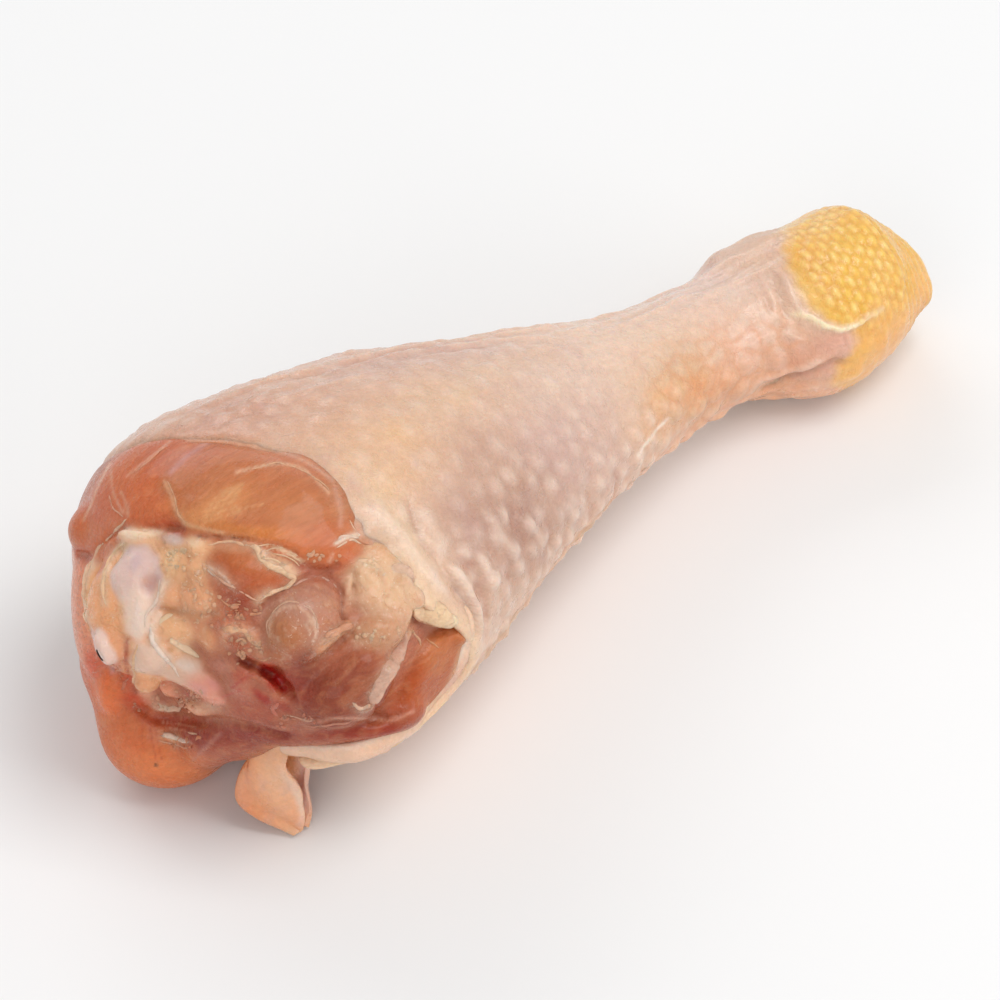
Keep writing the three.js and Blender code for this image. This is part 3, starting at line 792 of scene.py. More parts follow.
# bumps that would press into the board are flat there
places = np.empty(3 * len(skin.data.vertices), np.float32)
skin.data.vertices.foreach_get("co", places)
places[2::3] = np.maximum(places[2::3], JUST_OVER_BOARD * MM)
skin.data.vertices.foreach_set("co", places)
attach(skin, "root")
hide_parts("skin")


# ==== Meat ====================================================================================
# The muscles, fat and membranes of the leg, grown together into one body that fills the skin and
# swells out of it at the knee, where the thigh was cut off through the joint.

KNEE_MIDDLE = np.array([0.0, 0.0, 25.0])
CUT_ELEVATION = math.radians(46)  # how far the knee cut looks up
CUT_AZIMUTH = math.radians(50)  # how far it turns from -X towards the near side
face_out = np.array([
    -math.cos(CUT_ELEVATION) * math.cos(CUT_AZIMUTH),
    -math.cos(CUT_ELEVATION) * math.sin(CUT_AZIMUTH),
    math.sin(CUT_ELEVATION),
])
face_across = np.array([math.sin(CUT_AZIMUTH), -math.cos(CUT_AZIMUTH), 0.0])
face_up = np.cross(face_out, face_across)
face_frame = np.stack([face_across, face_up, face_out])  # rows: across, up, out

GAP = 0.3  # between the meat and the skin
FINE = 0.4  # grid spacing where the meat shows
FINE_UNTIL = 13.0
COARSE = 5.0
GROWTH = 1.3
MEAT_END = 118.4


def graded_axis(start, fine_end, end):
    """Even steps as far as fine_end, then steps that grow until end."""
    places = list(np.arange(start, fine_end, FINE))
    step = FINE
    while places[-1] < end:
        step = min(step * GROWTH, COARSE)
        places.append(places[-1] + step)
    return np.array(places)


axes = (
    graded_axis(-32.6, FINE_UNTIL, MEAT_END + 2),
    np.arange(-32.5, 30.5, FINE),
    np.arange(-0.8, 54.0, FINE),
)


def grid(box=(slice(None),) * 3):
    """The grid's coordinates in a box of it, ready to broadcast."""
    x, y, z = (axis[part] for axis, part in zip(axes, box))
    return x[:, None, None], y[None, :, None], z[None, None, :]


def box_round(middle, reach):
    """The box of the grid within reach of a place."""
    return tuple(
        slice(int(np.searchsorted(axis, m - reach)), int(np.searchsorted(axis, m + reach)) + 1)
        for axis, m in zip(axes, middle)
    )


def join(one, other, blend):
    """Union of two solids' distances with a fillet of about blend between them."""
    overlap = np.maximum(blend - np.abs(one - other), 0) / blend
    return np.minimum(one, other) - overlap * overlap * blend / 4


def cut(one, other, blend):
    """One solid less another, in distances, with a fillet of about blend along the cut."""
    return -join(-one, other, blend)


def core_distance(x, y, z, inset):
    """Roughly how far places are from the leg's plain form, set in by inset."""
    middle_y, middle_z, width, height, _ = section(x)
    across, up = (y - middle_y) / width, (z - middle_z) / height
    dome = np.clip((CALF_X - x) / DOME_LENGTH, 0, None)
    radial = np.hypot(across, up)
    fullness = (radial**DOME_FULLNESS + dome**DOME_FULLNESS) ** (1 / DOME_FULLNESS)
    steepness = np.hypot(across / width, up / height) / np.maximum(radial, 1e-3)
    along = dome / DOME_LENGTH / np.maximum(fullness, 1e-3)
    scale = np.hypot(steepness * radial / np.maximum(fullness, 1e-3), along)
    return (fullness - 1) / np.maximum(scale, 1e-4) + inset


def egg_distance(points, half):
    """Roughly how far points in an egg's own frame are from its surface."""
    near = np.sqrt(sum((p / h) ** 2 for p, h in zip(points, half)))
    steep = np.sqrt(sum((p / (h * h)) ** 2 for p, h in zip(points, half)))
    return near * (near - 1) / np.maximum(steep, 1e-5)


def first_hit(across, up, solid):
    """How far out of the knee's middle a solid lies at a place on the cut. Past the solid's
    outline it is how far out the outline lies."""
    outs = np.arange(34.0, -24.0, -0.2)
    for inward in np.arange(1.0, 0.4, -0.03):
        on_cut_at = np.array([across * inward, up * inward, 0.0])
        inside = np.nonzero(solid(KNEE_MIDDLE + on_cut_at @ face_frame + outs[:, None] * face_out))[0]
        if len(inside):
            return outs[inside[0]]


def surface_reach(across, up):
    """How far out the leg's plain form lies at a place on the cut."""
    return first_hit(across, up, lambda places: core_distance(*places.T, 0.0) <= 0)


def landing(across, up):
    """How far out the meat lies at a place on the cut, with the lumps that are in by now."""
    def in_meat(places):
        """Whether places lie in the meat, by the grid place nearest to each."""
        nearest = [np.clip(np.searchsorted(axis, p - FINE / 2), 0, len(axis) - 1)
                   for axis, p in zip(axes, places.T)]
        return meat_field[tuple(nearest)] <= 0

    return first_hit(across, up, in_meat)


def turned(turn):
    """The cut's frame turned in its own plane."""
    c, s = math.cos(math.radians(turn)), math.sin(math.radians(turn))
    return np.array([[c, s, 0], [-s, c, 0], [0, 0, 1]]) @ face_frame


class Lump:
    """An egg of one tissue on the knee cut, with its middle sunk under the surface there. Proud
    is the most that it may stand out of the leg's plain form."""

    def __init__(self, tissue, colour, across, up, sink, half, turn=0.0, blend=1.0, proud=None,
                 reach=surface_reach):
        self.tissue, self.colour, self.half, self.blend = tissue, linear(colour), half, blend
        self.frame, self.proud = turned(turn), proud
        out = reach(across, up) - sink
        self.middle = KNEE_MIDDLE + np.array([across, up, out]) @ face_frame

    def distance(self, x, y, z):
        """How far places are from its surface, below 0 inside."""
        from_middle = [v - m for v, m in zip((x, y, z), self.middle)]
        local = [sum(a * f for a, f in zip(row, from_middle)) for row in self.frame]
        return egg_distance(local, self.half)

    def box(self, margin=2.5):
        """The box of the grid round it."""
        return box_round(self.middle, max(self.half) + margin)


class Strand:
    """A rope of one tissue along the knee cut: places across and up it, and half thicknesses."""

    def __init__(self, tissue, colour, path, radii, sink=0.0, blend=0.8, flat=1.0):
        self.tissue, self.colour, self.blend, self.flat = tissue, linear(colour), blend, flat
        self.proud = None
        places = curve_through(np.array(path, float), 4)
        self.radii = np.interp(np.linspace(0, 1, len(places)), np.linspace(0, 1, len(radii)), radii)
        outs = np.array([landing(*p) - sink for p in places])
        self.points = KNEE_MIDDLE + np.column_stack([places, outs]) @ face_frame

    def distance(self, x, y, z):
        """How far places are from its surface, below 0 inside."""
        nearest = 1e3
        for (a, b), (ra, rb) in zip(zip(self.points, self.points[1:]), zip(self.radii, self.radii[1:])):
            way = b - a
            from_a = [v - s for v, s in zip((x, y, z), a)]
            t = np.clip(sum(f * w for f, w in zip(from_a, way)) / (way @ way), 0, 1)
            off = [f - t * w for f, w in zip(from_a, way)]
            out = sum(f * o for f, o in zip(off, face_out))
            squared = sum(f * f for f in off)
            flattened = squared + (1 / self.flat**2 - 1) * out * out
            gap = (np.sqrt(flattened) - (ra + (rb - ra) * t)) * min(self.flat, 1)
            nearest = np.minimum(nearest, gap)
        return nearest

    def box(self, margin=2.5):
        """The box of the grid round it."""
        low = self.points.min(0) - self.radii.max() - margin
        high = self.points.max(0) + self.radii.max() + margin
        return tuple(slice(int(np.searchsorted(axis, a)), int(np.searchsorted(axis, b)) + 1)
                     for axis, a, b in zip(axes, low, high))


class Egg(Lump):
    """An egg placed by the leg's own axes."""

    def __init__(self, tissue, colour, middle, half, blend=2.0):
        self.tissue, self.colour, self.half, self.blend = tissue, linear(colour), half, blend
        self.frame, self.middle, self.proud = np.eye(3), np.array(middle), None


def bit(*values):
    """A small lump that lies on the meat that is there."""
    return Lump(*values, reach=landing)


def put(field, form):
    """Grows a form on to a solid, no prouder than it may be."""
    box = form.box()
    gap = form.distance(*grid(box))
    if form.proud is not None:
        gap = cut(gap, form.proud - proud_form[box], 1.5)
    field[box] = join(field[box], gap, form.blend)


def carve(field, form, ragged=0.0):
    """Cuts a form out of a solid; ragged is how far its walls wander, in millimetres."""
    box = form.box()
    gap = form.distance(*grid(box))
    if ragged:
        places = np.stack(np.broadcast_arrays(*grid(box)), -1)
        gap = gap + ragged * noise(places, 1.3, 54)
    field[box] = cut(field[box], gap, form.blend)


# ---- The body inside the skin ----
x, y, z = grid()
middle_y, middle_z = section(x)[:2]
turn_at = np.degrees(np.arctan2(middle_y - y, z - middle_z))
edge_at = cut_at(turn_at)
bare = smooth(4.0, -1.0, x - edge_at) * smooth(48.0, 30.0, turn_at) * smooth(-125.0, -100.0, turn_at)
under_lip = smooth(-9.0, -3.0, x - edge_at) * smooth(50.0, 72.0, turn_at)
under_lip = under_lip * smooth(150.0, 128.0, turn_at)
dented = 0.0
for at, round_at, deep, length, spread, girth in (
    (-10.0, 122.0, 3.2, 8.0, 11.0, 29.0),  # hollow above the flap
    (-14.0, 140.0, 2.4, 7.0, 12.0, 29.0),
    (117.0, 14.0, 1.3, 4.0, 8.0, 12.0),  # flat top of the hock
    (88.0, 118.0, 1.6, 4.5, 7.0, 11.0),  # crease in front of the heel
):
    across = np.radians(turn_between(turn_at, round_at)) * girth / spread
    dented = dented + deep * np.exp(-(((x - at) / length) ** 2) - across**2)
inset = THICKNESS + GAP - 1.55 * bare + 0.25 * under_lip - 0.4 * smooth(108.0, 114.0, x) + dented
plain_form = core_distance(x, y, z, 0.0).astype(np.float32)
meat_field = (plain_form + inset).astype(np.float32)
meat_field = np.maximum(meat_field, x - MEAT_END)
# the calf muscles may not rise through the skin that lies over them
under_skin = 0.15 * smooth(-3.0, -1.0, x - edge_at) + 1.0 * smooth(0.0, 3.0, x - edge_at)
proud_form = (plain_form + under_skin * smooth(52.0, 40.0, turn_at)).astype(np.float32)
del bare, under_lip, dented, across, inset, turn_at, edge_at, under_skin

CORE_COLOUR = "#B0664A"
muscle, fat, gristle, membrane = "muscle", "fat", "gristle", "membrane"

# Sagging muscle under the joint, on the floor
sagging = [
    Egg(muscle, "#D8733F", (-19.3, 0.2, 9.1), (10.6, 9.6, 9), 2),
    Egg(muscle, "#D26A41", (-17.6, 6, 15.4), (10.2, 11, 11), 3),
    Egg(muscle, "#D67043", (-21.2, 3, 8.2), (6.6, 7.5, 7.4), 1.5),
]

# On the cut: tissue, colour, across, up, sink, half sizes, turn, blend, proud
lumps = [
    # calf muscles above the joint
    Lump(muscle, "#CD6938", -17.4, 10.8, 8.5, (11.2, 6.8, 8.6), 38, 1.5, -0.3),
    Lump(muscle, "#BE6F42", -1.6, 8.8, 9, (14.6, 8.2, 10), -18, 1.2, -0.3),
    Lump(muscle, "#B9714C", 6, 11.6, 5.6, (6.4, 5, 5.8), -38, 3, -0.3),
    Lump(muscle, "#CA6E43", -25.9, 6.6, 2.6, (2.8, 2.9, 3.6), 30, 2, None, lambda *_: 9),
    Lump(muscle, "#CB693C", -15.2, 9.2, 3.1, (5, 2.6, 3.6), 2, 1.2, -0.3),
    Lump(muscle, "#CC7C46", -7.4, 8.4, 3.4, (4.6, 2.6, 3.8), -6, 1.6, -0.3),
    Lump(muscle, "#CD733E", 1.4, 5.2, 4.5, (7.2, 2.8, 5), -12, 1.6, -0.3),
    Lump(muscle, "#C66739", 8, 4.8, 4.3, (4.4, 3.4, 4.6), -30, 1.8, -0.3),
    # the short muscle under them
    Lump(muscle, "#B75A2D", -3.2, 0.9, 5, (6.4, 3.9, 5.2), -28, 0.7),
    # round lobe, and the ball in it
    Lump(fat, "#B9846E", 3.9, -5.4, 5.8, (5.9, 6.2, 6.5), 0, 0.6),
    # muscles towards the near lower edge
    Lump(muscle, "#8D3C20", 9.4, -14.4, 5.5, (7.2, 5.6, 6.2), 28, 0.8),
    Lump(muscle, "#A2502E", 12.4, -11.2, 3.7, (4, 3.2, 3.8), -20, 1.4),
    Lump(muscle, "#B45726", 20.2, -12.8, 6.1, (4.8, 7.4, 6), -32, 0.8, -0.1),
    Lump(fat, "#D39A72", 24.4, -10.2, 4, (2.4, 5, 3.6), -20, 0.8, -0.3),
    Lump(muscle, "#A8522F", 16.8, -18.4, 4.9, (4, 2.6, 4.2), 14, 1.4),
    # fat between the lobe and the skin
    Lump(fat, "#E1B691", 14.4, -0.8, 4.6, (6.2, 4.8, 5.2), -40, 1.4, -0.1),
    Lump(fat, "#C9936F", 13.6, -7, 4.2, (5, 3, 4.6), 16, 1.4),
    Lump(fat, "#F0D2AC", 22.6, -4.6, 1.3, (4.2, 1.7, 2.4), -26, 0.8, 1),
    # bed of fat under the joint, and the lobes on it
    Lump(fat, "#F0AA79", -16.4, -4.2, 4.5, (9, 9.6, 6.6), 0, 1.5),
    Lump(fat, "#F4B07B", -22.5, -3.4, 2.9, (3.5, 7.2, 4.6), 4, 0.7),
]
# the muscle that runs on from the bulge under the cut's lower edge
lumps.append(Lump(muscle, "#932E19", -4.6, -21, 6, (7.4, 4, 6.8), 8, 2, None, lambda *_: 14))
lumps.append(Lump(muscle, "#A43F22", -9.6, -21.6, 6, (4.4, 4.6, 6.6), 20, 2, None, lambda *_: 10))
# edge of the far skin and its membrane, seen past the joint
lumps.append(Lump(membrane, "#EB9A7B", -25.5, -3.8, 0, (3, 10, 6.2), 2, 1, None, lambda *_: 4))
for form in sagging + lumps:
    put(meat_field, form)
bits = [
    # the short muscle under them
    bit(muscle, "#BB7344", -4.2, 3.6, 2.5, (3.4, 1.5, 2.5), -4, 0.7),
    bit(muscle, "#9E3617", -4.2, -1.8, 3, (2.8, 1.5, 2.8), -35, 0.9),
    # round lobe, and the ball in it
    bit(fat, "#B26C40", 2.9, -6.8, 2.7, (3.2, 3.3, 3.6), 0, 0.35),
    bit(fat, "#B56D48", 2.6, -9.6, 3.4, (3.9, 2.1, 3.4), 0, 0.8),
    # muscles towards the near lower edge
    bit(muscle, "#97442E", 4.4, -14.8, 3.6, (2.8, 3, 3.4), 30, 0.9),
    # deep red along the cut's lower edge: red muscle, darkened further by painted shade
    bit(muscle, "#9A2F13", 8, -20.8, 2.9, (9, 1.7, 3.2), 4, 1.2),
    # fat between the lobe and the skin
    bit(fat, "#E2BA94", 12.3, 0.5, 1.8, (2.5, 2.2, 2.6), -30, 0.6),
    bit(fat, "#DCAE8C", 13, -2.2, 2.1, (2.8, 2.2, 2.6), 0, 0.7),
    bit(fat, "#D9A988", 15.8, -3.8, 2, (3.4, 2.2, 2.8), -20, 0.7),
    bit(fat, "#E2BEAD", 17.2, 0.7, 1.7, (2.2, 2, 2.2), -50, 0.6),
    bit(fat, "#DBB398", 19, -2, 1.8, (2.2, 1.6, 2), -50, 0.6),
    bit(fat, "#DEAA82", 13.8, 3.6, 2.2, (3.6, 1.9, 2.6), -32, 0.9),
    bit(fat, "#E4BC96", 10.3, -1.2, 1.6, (1.1, 2.4, 1.9), 8, 0.5),
    bit(muscle, "#C2703C", 24.4, -7.4, 1.7, (2.3, 1.4, 2.3), -32, 0.6),
    bit(fat, "#FCDFBC", 20.6, -3.6, 1.2, (1.9, 1.5, 1.7), -20, 0.5),
    # bed of fat under the joint, and the lobes on it
    bit(fat, "#DF9F75", -21.4, -8.2, 1.9, (2.4, 3.2, 2.6), 8, 0.8),
    bit(fat, "#F4C297", -16, 5.9, 2, (5, 1.5, 2.5), -4, 0.7),
    bit(fat, "#F2BE90", -12.8, 2.1, 2, (2.1, 2, 2.3), 20, 0.6),
    bit(fat, "#F1B587", -9.8, 1.4, 2.2, (2.7, 2.2, 2.5), 0, 0.7),
    bit(fat, "#F3BB8D", -8.6, 4.2, 1.8, (2.6, 1.7, 2.1), 10, 0.6),
    bit(fat, "#ECAA7D", -12.8, -2, 2, (2.3, 1.8, 2.2), 10, 0.6),
    bit(fat, "#EDAA7F", -9, -2.6, 2, (2.4, 2.1, 2.3), -10, 0.7),
    bit(fat, "#EDB385", -12.4, -6.2, 2.1, (3.3, 2.3, 2.8), 0, 0.5),
    # a lobule of fat, coloured paler as a painted highlight
    bit(fat, "#FCD2AF", -12.8, -8.4, 1.6, (1.8, 1.5, 2), 10, 0.4),
    bit(fat, "#F7C597", -10.5, -9.9, 1.8, (2.7, 1.2, 2), -22, 0.4),
    bit(fat, "#E8A174", -8, -6.8, 2, (1.9, 2.6, 2.2), 0, 0.6),
    bit(fat, "#E3A277", -17.3, -13.4, 2, (2, 2.1, 2.3), 0, 0.5),
    # a lobule of fat, coloured paler as a painted highlight
    bit(fat, "#F6CAA7", -17.9, -15.3, 1.2, (1.3, 0.9, 1.4), 10, 0.4),
    bit(fat, "#E69D7A", -14, -13.9, 2.1, (1.9, 2.4, 2.3), 0, 0.6),
    bit(fat, "#EAA883", -9, -17.4, 2, (3.2, 1.4, 2.2), -4, 0.7),
    bit(fat, "#C97E68", -3.4, -13.4, 2.5, (2.5, 2.8, 2.8), 20, 0.9),
    # red flesh left of and below it
    bit(muscle, "#EB7B45", -22.4, -14, 2.4, (2.2, 4.6, 3), -12, 1.2),
    # slivers of white sinew
    bit(membrane, "#EAC3A4", -14.8, -17.9, 0.5, (1.8, 0.5, 0.8), 6, 0.25),
    bit(membrane, "#EDBA94", -13.7, -22.1, 0.1, (2.1, 0.4, 0.7), -13, 0.2),
    # connective tissue under the short muscle
    bit(membrane, "#C35E37", -4.6, -4.8, 2.7, (4.2, 3.6, 3.2), -35, 0.9),
    bit(membrane, "#CA6842", -3.4, -8.4, 2, (2.8, 1.8, 2.3), -28, 0.6),
    bit(membrane, "#C97562", 0.5, -16.1, 0.9, (1, 0.8, 1.1), 0, 0.3),
]
for form in bits:
    put(meat_field, form)

# Hollows: the blood pocket and the notch beside it
hollows = [
    bit(muscle, "#7E140C", 1.4, -13.8, 0.1, (2.7, 1.2, 1.9), -52, 0.6),
    bit(muscle, "#7E180F", -0.3, -12.4, 0, (1.6, 0.9, 1.7), -40, 0.5),
    bit(muscle, "#94301F", -3.2, -10.9, 0, (1.1, 0.7, 1.2), -50, 0.5),
]
for form in hollows:
    carve(meat_field, form, 0.6)

# Clefts between the lumps, coloured darker than the flesh round them: painted shade in the
# grooves. Tissue, colour, places across and up, radii, sink, blend
clefts = [
    Strand(muscle, "#B0624A", [(-0.9, -3.4), (1.6, -1), (6, 0.6), (9.2, -0.9), (9.8, -3.6), (9.6, -6.2)],
           (0.35, 0.6, 0.5), 0.1, 0.4),
    Strand(muscle, "#8F2616", [(-4.4, -10.6), (-2.6, -11.4), (0.2, -12.8)], (0.4, 0.8, 0.7), 0, 0.5),
    Strand(fat, "#D08C76", [(-22.5, 2.8), (-23.2, 1.9), (-23.8, 0.9)], (0.4, 0.55, 0.3), 0, 0.4),
    Strand(fat, "#B9836B", [(17, 4.2), (19.2, 0.9), (21.3, -2.2), (24.7, -4.3), (26.6, -5.6)],
           (0.4, 0.55, 0.4), 0, 0.4),
    Strand(muscle, "#AA4227", [(-19.4, -17.4), (-16.4, -19.2), (-11, -19.3), (-5, -19.6), (1.6, -21.2)],
           (0.6, 0.8, 0.6), 0, 0.9),
    Strand(muscle, "#B34E32", [(-27.4, 3.4), (-25, 3.4), (-22.4, 5.6), (-20.4, 7)],
           (0.5, 0.7, 0.5), 0.2, 0.5),
    Strand(muscle, "#A1442B", [(-20, 7.2), (-16, 7.1), (-11.9, 7)], (0.4, 0.6, 0.4), 0.1, 0.4),
    Strand(muscle, "#AA4E30", [(-9.6, 5.9), (-4.6, 5.6), (-1, 5.1), (3.4, 3.9)],
           (0.3, 0.45, 0.3), 0.1, 0.4),
    Strand(muscle, "#A14A30", [(4.2, 2.3), (7.2, 1.2), (9, 2.2)], (0.3, 0.5, 0.3), 0.1, 0.4),
    Strand(fat, "#C48A64", [(-11.2, 0), (-11.2, 3.4)], (0.25, 0.3), 0, 0.4),
    Strand(fat, "#C48A64", [(-15.6, -3.6), (-12.4, -4.2), (-9.2, -4.6), (-7, -4.4)],
           (0.3, 0.4, 0.3), 0, 0.4),
    Strand(fat, "#B0543F", [(-19.6, -8), (-19.7, -10.4), (-19.4, -13.6), (-19.4, -16)],
           (0.3, 0.5, 0.4), 0, 0.5),
    Strand(muscle, "#9B3A26", [(-25.6, -5.4), (-25, -7)], (0.4, 0.5), 0, 0.4),
    Strand(fat, "#B98260", [(13.4, 1.9), (14.9, 0.4), (15.4, -1.6)], (0.2, 0.35, 0.2), 0, 0.3),
    Strand(fat, "#BC8866", [(10.9, -3.6), (11.2, -0.2), (11, 1.6)], (0.2, 0.3, 0.2), 0, 0.3),
    Strand(fat, "#B77A5A", [(6.8, -10.4), (8.8, -8.9), (11, -7)], (0.3, 0.5, 0.3), 0.1, 0.3),
    Strand(muscle, "#90402B", [(5.6, -18.6), (9.4, -19.2), (13.4, -19.2), (17, -18.6)],
           (0.3, 0.5, 0.3), 0.1, 0.4),
    Strand(muscle, "#AA5332", [(18.4, -8.4), (16.9, -11.4), (15, -15.6), (14, -18.4)],
           (0.3, 0.4, 0.3), 0.1, 0.5),
]
for form in clefts:
    carve(meat_field, form)

# Ridges and cords of membrane that lie on the lumps
ridges = [
    Strand(membrane, "#EDC19D", [(-5.8, 5.4), (-2.3, 4.9), (-1.2, 3.6), (0.1, 2.1), (2.3, 1.4), (3.3, 0.6),
                                 (2, -0.5), (-0.5, -1.8), (-1.5, -2.8)],
           (0.25, 0.4, 0.35, 0.4, 0.3), -0.05, 0.3),
    Strand(membrane, "#DFA885", [(-8.2, 1.9), (-6.6, 0.9), (-5.2, -0.4), (-4.6, -1.6)],
           (0.2, 0.35, 0.2), 0, 0.3),
    Strand(membrane, "#E5AA85", [(-6.2, -8.6), (-6, -6.8), (-4, -6.4), (-2, -7.8), (-1.2, -9.8)],
           (0.3, 0.7, 0.8, 0.5), 0.1, 0.5),
    Strand(membrane, "#CF9873", [(5, -10.5), (6.4, -9.3), (8.1, -7.8), (10.3, -5.9)],
           (0.5, 0.75, 0.8, 0.7), -0.3, 0.4),
    Strand(membrane, "#E8B68F", [(8.8, 5), (10.4, 5.9), (12.4, 6.2)], (0.2, 0.35, 0.3), -0.1, 0.3),
    Strand(fat, "#EACDB2", [(-20.5, 6.2), (-23.3, 4.2), (-24.8, 1.9), (-26, -1.4),
                            (-25.8, -4), (-25, -5.6)],
           (0.35, 0.5, 0.4), 0, 0.4),
    Strand(fat, "#E3C3A3", [(-19.8, 5.2), (-21.6, 3.2), (-22.6, 0.2), (-22.6, -3)],
           (0.4, 0.5, 0.25), 0.1, 0.5),
    Strand(fat, "#E2C2A2", [(-19.2, 4.4), (-20.4, 0.6), (-20, -2.2), (-19.2, -6.6)],
           (0.4, 0.6, 0.4), 0.1, 0.4),
    Strand(fat, "#E6D0BC", [(-14.4, -0.7), (-15.3, -2.7), (-16.4, -4.3)], (0.3, 0.45, 0.3), 0, 0.4),
    Strand(fat, "#E6D3C2", [(-15.2, -4.6), (-16.1, -6.6), (-15.7, -8.6), (-14.2, -10.4)],
           (0.3, 0.5, 0.4), 0, 0.4),
    Strand(fat, "#E3C3A3", [(-19.2, -8.4), (-19.3, -10.4), (-18.4, -11.8)], (0.3, 0.45, 0.3), 0, 0.4),
    Strand(fat, "#E8D2B8", [(11.9, 2.2), (14, 1.7), (15.7, 0), (16, -1.6)], (0.2, 0.35, 0.2), -0.05, 0.3),
    Strand(fat, "#DFC0A0", [(10.8, 0.4), (10.2, -2), (10, -4.4)], (0.2, 0.35, 0.2), -0.1, 0.3),
    # flat white tendon on the near muscle, hooked at its end
    Strand(membrane, "#D8AB8B", [(18.8, -6.8), (17.2, -9.6), (15.4, -13), (13.9, -15.4), (13.3, -17)],
           (0.45, 0.75, 0.75, 0.85, 0.7), -0.3, 0.3, 0.7),
    Strand(membrane, "#DEB291", [(13.3, -17), (12.2, -17.5), (11.1, -16.8)], (0.5, 0.35, 0.3), -0.1, 0.3),
]
for form in ridges:
    put(meat_field, form)


# ---- Gristle of the joint: two condyles and the channel between them ----
# Smooth white cartilage on the knee end of the shin bone, which the cut left whole. It grows out
# of the meat's own bed of fat, so both are cut from fields on one grid.
# Tissue, colour, across, up, sink, half sizes, turn and blend
condyles = [
    bit(gristle, "#DCBDB5", -17.2, 0.2, 1.1, (3.7, 3.9, 2.2), 20, 1),
    bit(gristle, "#E7CABE", -19.8, 0.6, 0.6, (1.5, 1.4, 1.5), 0, 0.8),
    bit(gristle, "#DDC3C0", -18.4, 3.2, 0.8, (1, 1.8, 1.5), -10, 0.8),
    bit(gristle, "#EDD0BC", -17.9, -3.6, 1, (1.6, 4, 1.9), -4, 1.2),
    bit(gristle, "#DEBCA7", -16.4, -10.4, 0.95, (2.2, 2, 1.9), 10, 0.8),
    bit(gristle, "#E0C1B3", -22.9, -9.4, -0.1, (0.8, 2.2, 1.2), 24, 0.8),
    bit(gristle, "#DCB69E", -10.8, -12, 1.4, (4.4, 2.6, 2.5), -14, 0.9),
    bit(gristle, "#E59A82", -8.3, -14, 1.4, (3.8, 2, 2.3), -18, 0.9),
]
gristle_dip = bit(gristle, "#C9ABA8", -16.2, -0.4, -1.0, (1.7, 1.9, 1.2), 20, 0.8)
FAR_OFF = 50.0
gristle_field = np.full_like(meat_field, FAR_OFF)
for form in condyles:
    put(gristle_field, form)
carve(gristle_field, gristle_dip)
# a film of the flesh covers the gristle and climbs its sides in a fillet
FILM, FILM_FILLET = 0.16, 1.2
flesh_field = meat_field
meat_field = join(flesh_field, gristle_field - FILM, FILM_FILLET).astype(np.float32)
FLOOR = 0.1  # the lowest that the flesh may lie
meat_field = np.maximum(meat_field, FLOOR - grid()[2])
gristle_field = np.maximum(gristle_field, FLOOR - grid()[2])


def net_surface(field):
    """A closed net of quads where a field of distances is zero: one point in each cell it crosses."""
    inside = field < 0
    corners = list(np.ndindex(2, 2, 2))
    parts = [inside[a:a + field.shape[0] - 1, b:b + field.shape[1] - 1, c:c + field.shape[2] - 1]
             for a, b, c in corners]
    filled = sum(part.astype(np.int8) for part in parts)
    cells = np.argwhere((filled > 0) & (filled < 8))
    values = np.stack([field[tuple((cells + corner).T)] for corner in corners], -1)
    total, count = np.zeros((len(cells), 3)), np.zeros(len(cells))
    for i, start in enumerate(corners):
        for j, end in enumerate(corners):
            if j <= i or sum(abs(a - b) for a, b in zip(start, end)) != 1:
                continue
            crosses = (values[:, i] < 0) != (values[:, j] < 0)
            drop = np.where(crosses, values[:, i] - values[:, j], 1)
            share = np.where(crosses, values[:, i] / drop, 0)
            place = np.array(start) + share[:, None] * (np.array(end) - np.array(start))
            total += place * crosses[:, None]
            count += crosses
    share = total / count[:, None]
    points = np.stack([
        axis[cells[:, k]] + share[:, k] * (axis[cells[:, k] + 1] - axis[cells[:, k]])
        for k, axis in enumerate(axes)
    ], -1)
    number = np.full(tuple(n - 1 for n in field.shape), -1, np.int32)
    number[tuple(cells.T)] = np.arange(len(cells))
    faces = []
    for k in range(3):
        step = np.eye(3, dtype=int)
        low, high = [slice(None)] * 3, [slice(None)] * 3
        low[k], high[k] = slice(None, -1), slice(1, None)
        first, second = inside[tuple(low)], inside[tuple(high)]
        edges = np.argwhere(first != second)
        one, two = step[(k + 1) % 3], step[(k + 2) % 3]
        edges = edges[(edges[:, (k + 1) % 3] > 0) & (edges[:, (k + 2) % 3] > 0)]
        quad = np.stack([number[tuple((edges - away).T)] for away in (one * 0, one, one + two, two)], -1)
        outward = inside[tuple(edges.T)]
        faces.append(np.where(outward[:, None], quad, quad[:, ::-1]))
    return points, np.vstack(faces)


def relax(points, faces, rounds):
    """Evens out a net: each point moves halfway to the middle of its neighbours."""
    pairs = np.vstack([faces[:, [i, (i + 1) % 4]] for i in range(4)])
    for _ in range(rounds):
        total, count = np.zeros_like(points), np.zeros(len(points))
        for a, b in (pairs.T, pairs.T[::-1]):
            for k in range(3):
                total[:, k] += np.bincount(a, points[b, k], len(points))
            count += np.bincount(a, minlength=len(points))
        points = 0.5 * points + 0.5 * total / count[:, None]
    return points


def sample(field, points):
    """A field's value at points, blended from the grid places round them."""
    low, share = [], []
    for axis, place in zip(axes, points.T):
        at = np.clip(np.searchsorted(axis, place) - 1, 0, len(axis) - 2)
        low.append(at)
        share.append(np.clip((place - axis[at]) / (axis[at + 1] - axis[at]), 0, 1))
    total = 0.0
    for corner in np.ndindex(2, 2, 2):
        weight = np.prod([s if c else 1 - s for c, s in zip(corner, share)], axis=0)
        total = total + weight * field[tuple(at + c for at, c in zip(low, corner))]
    return total


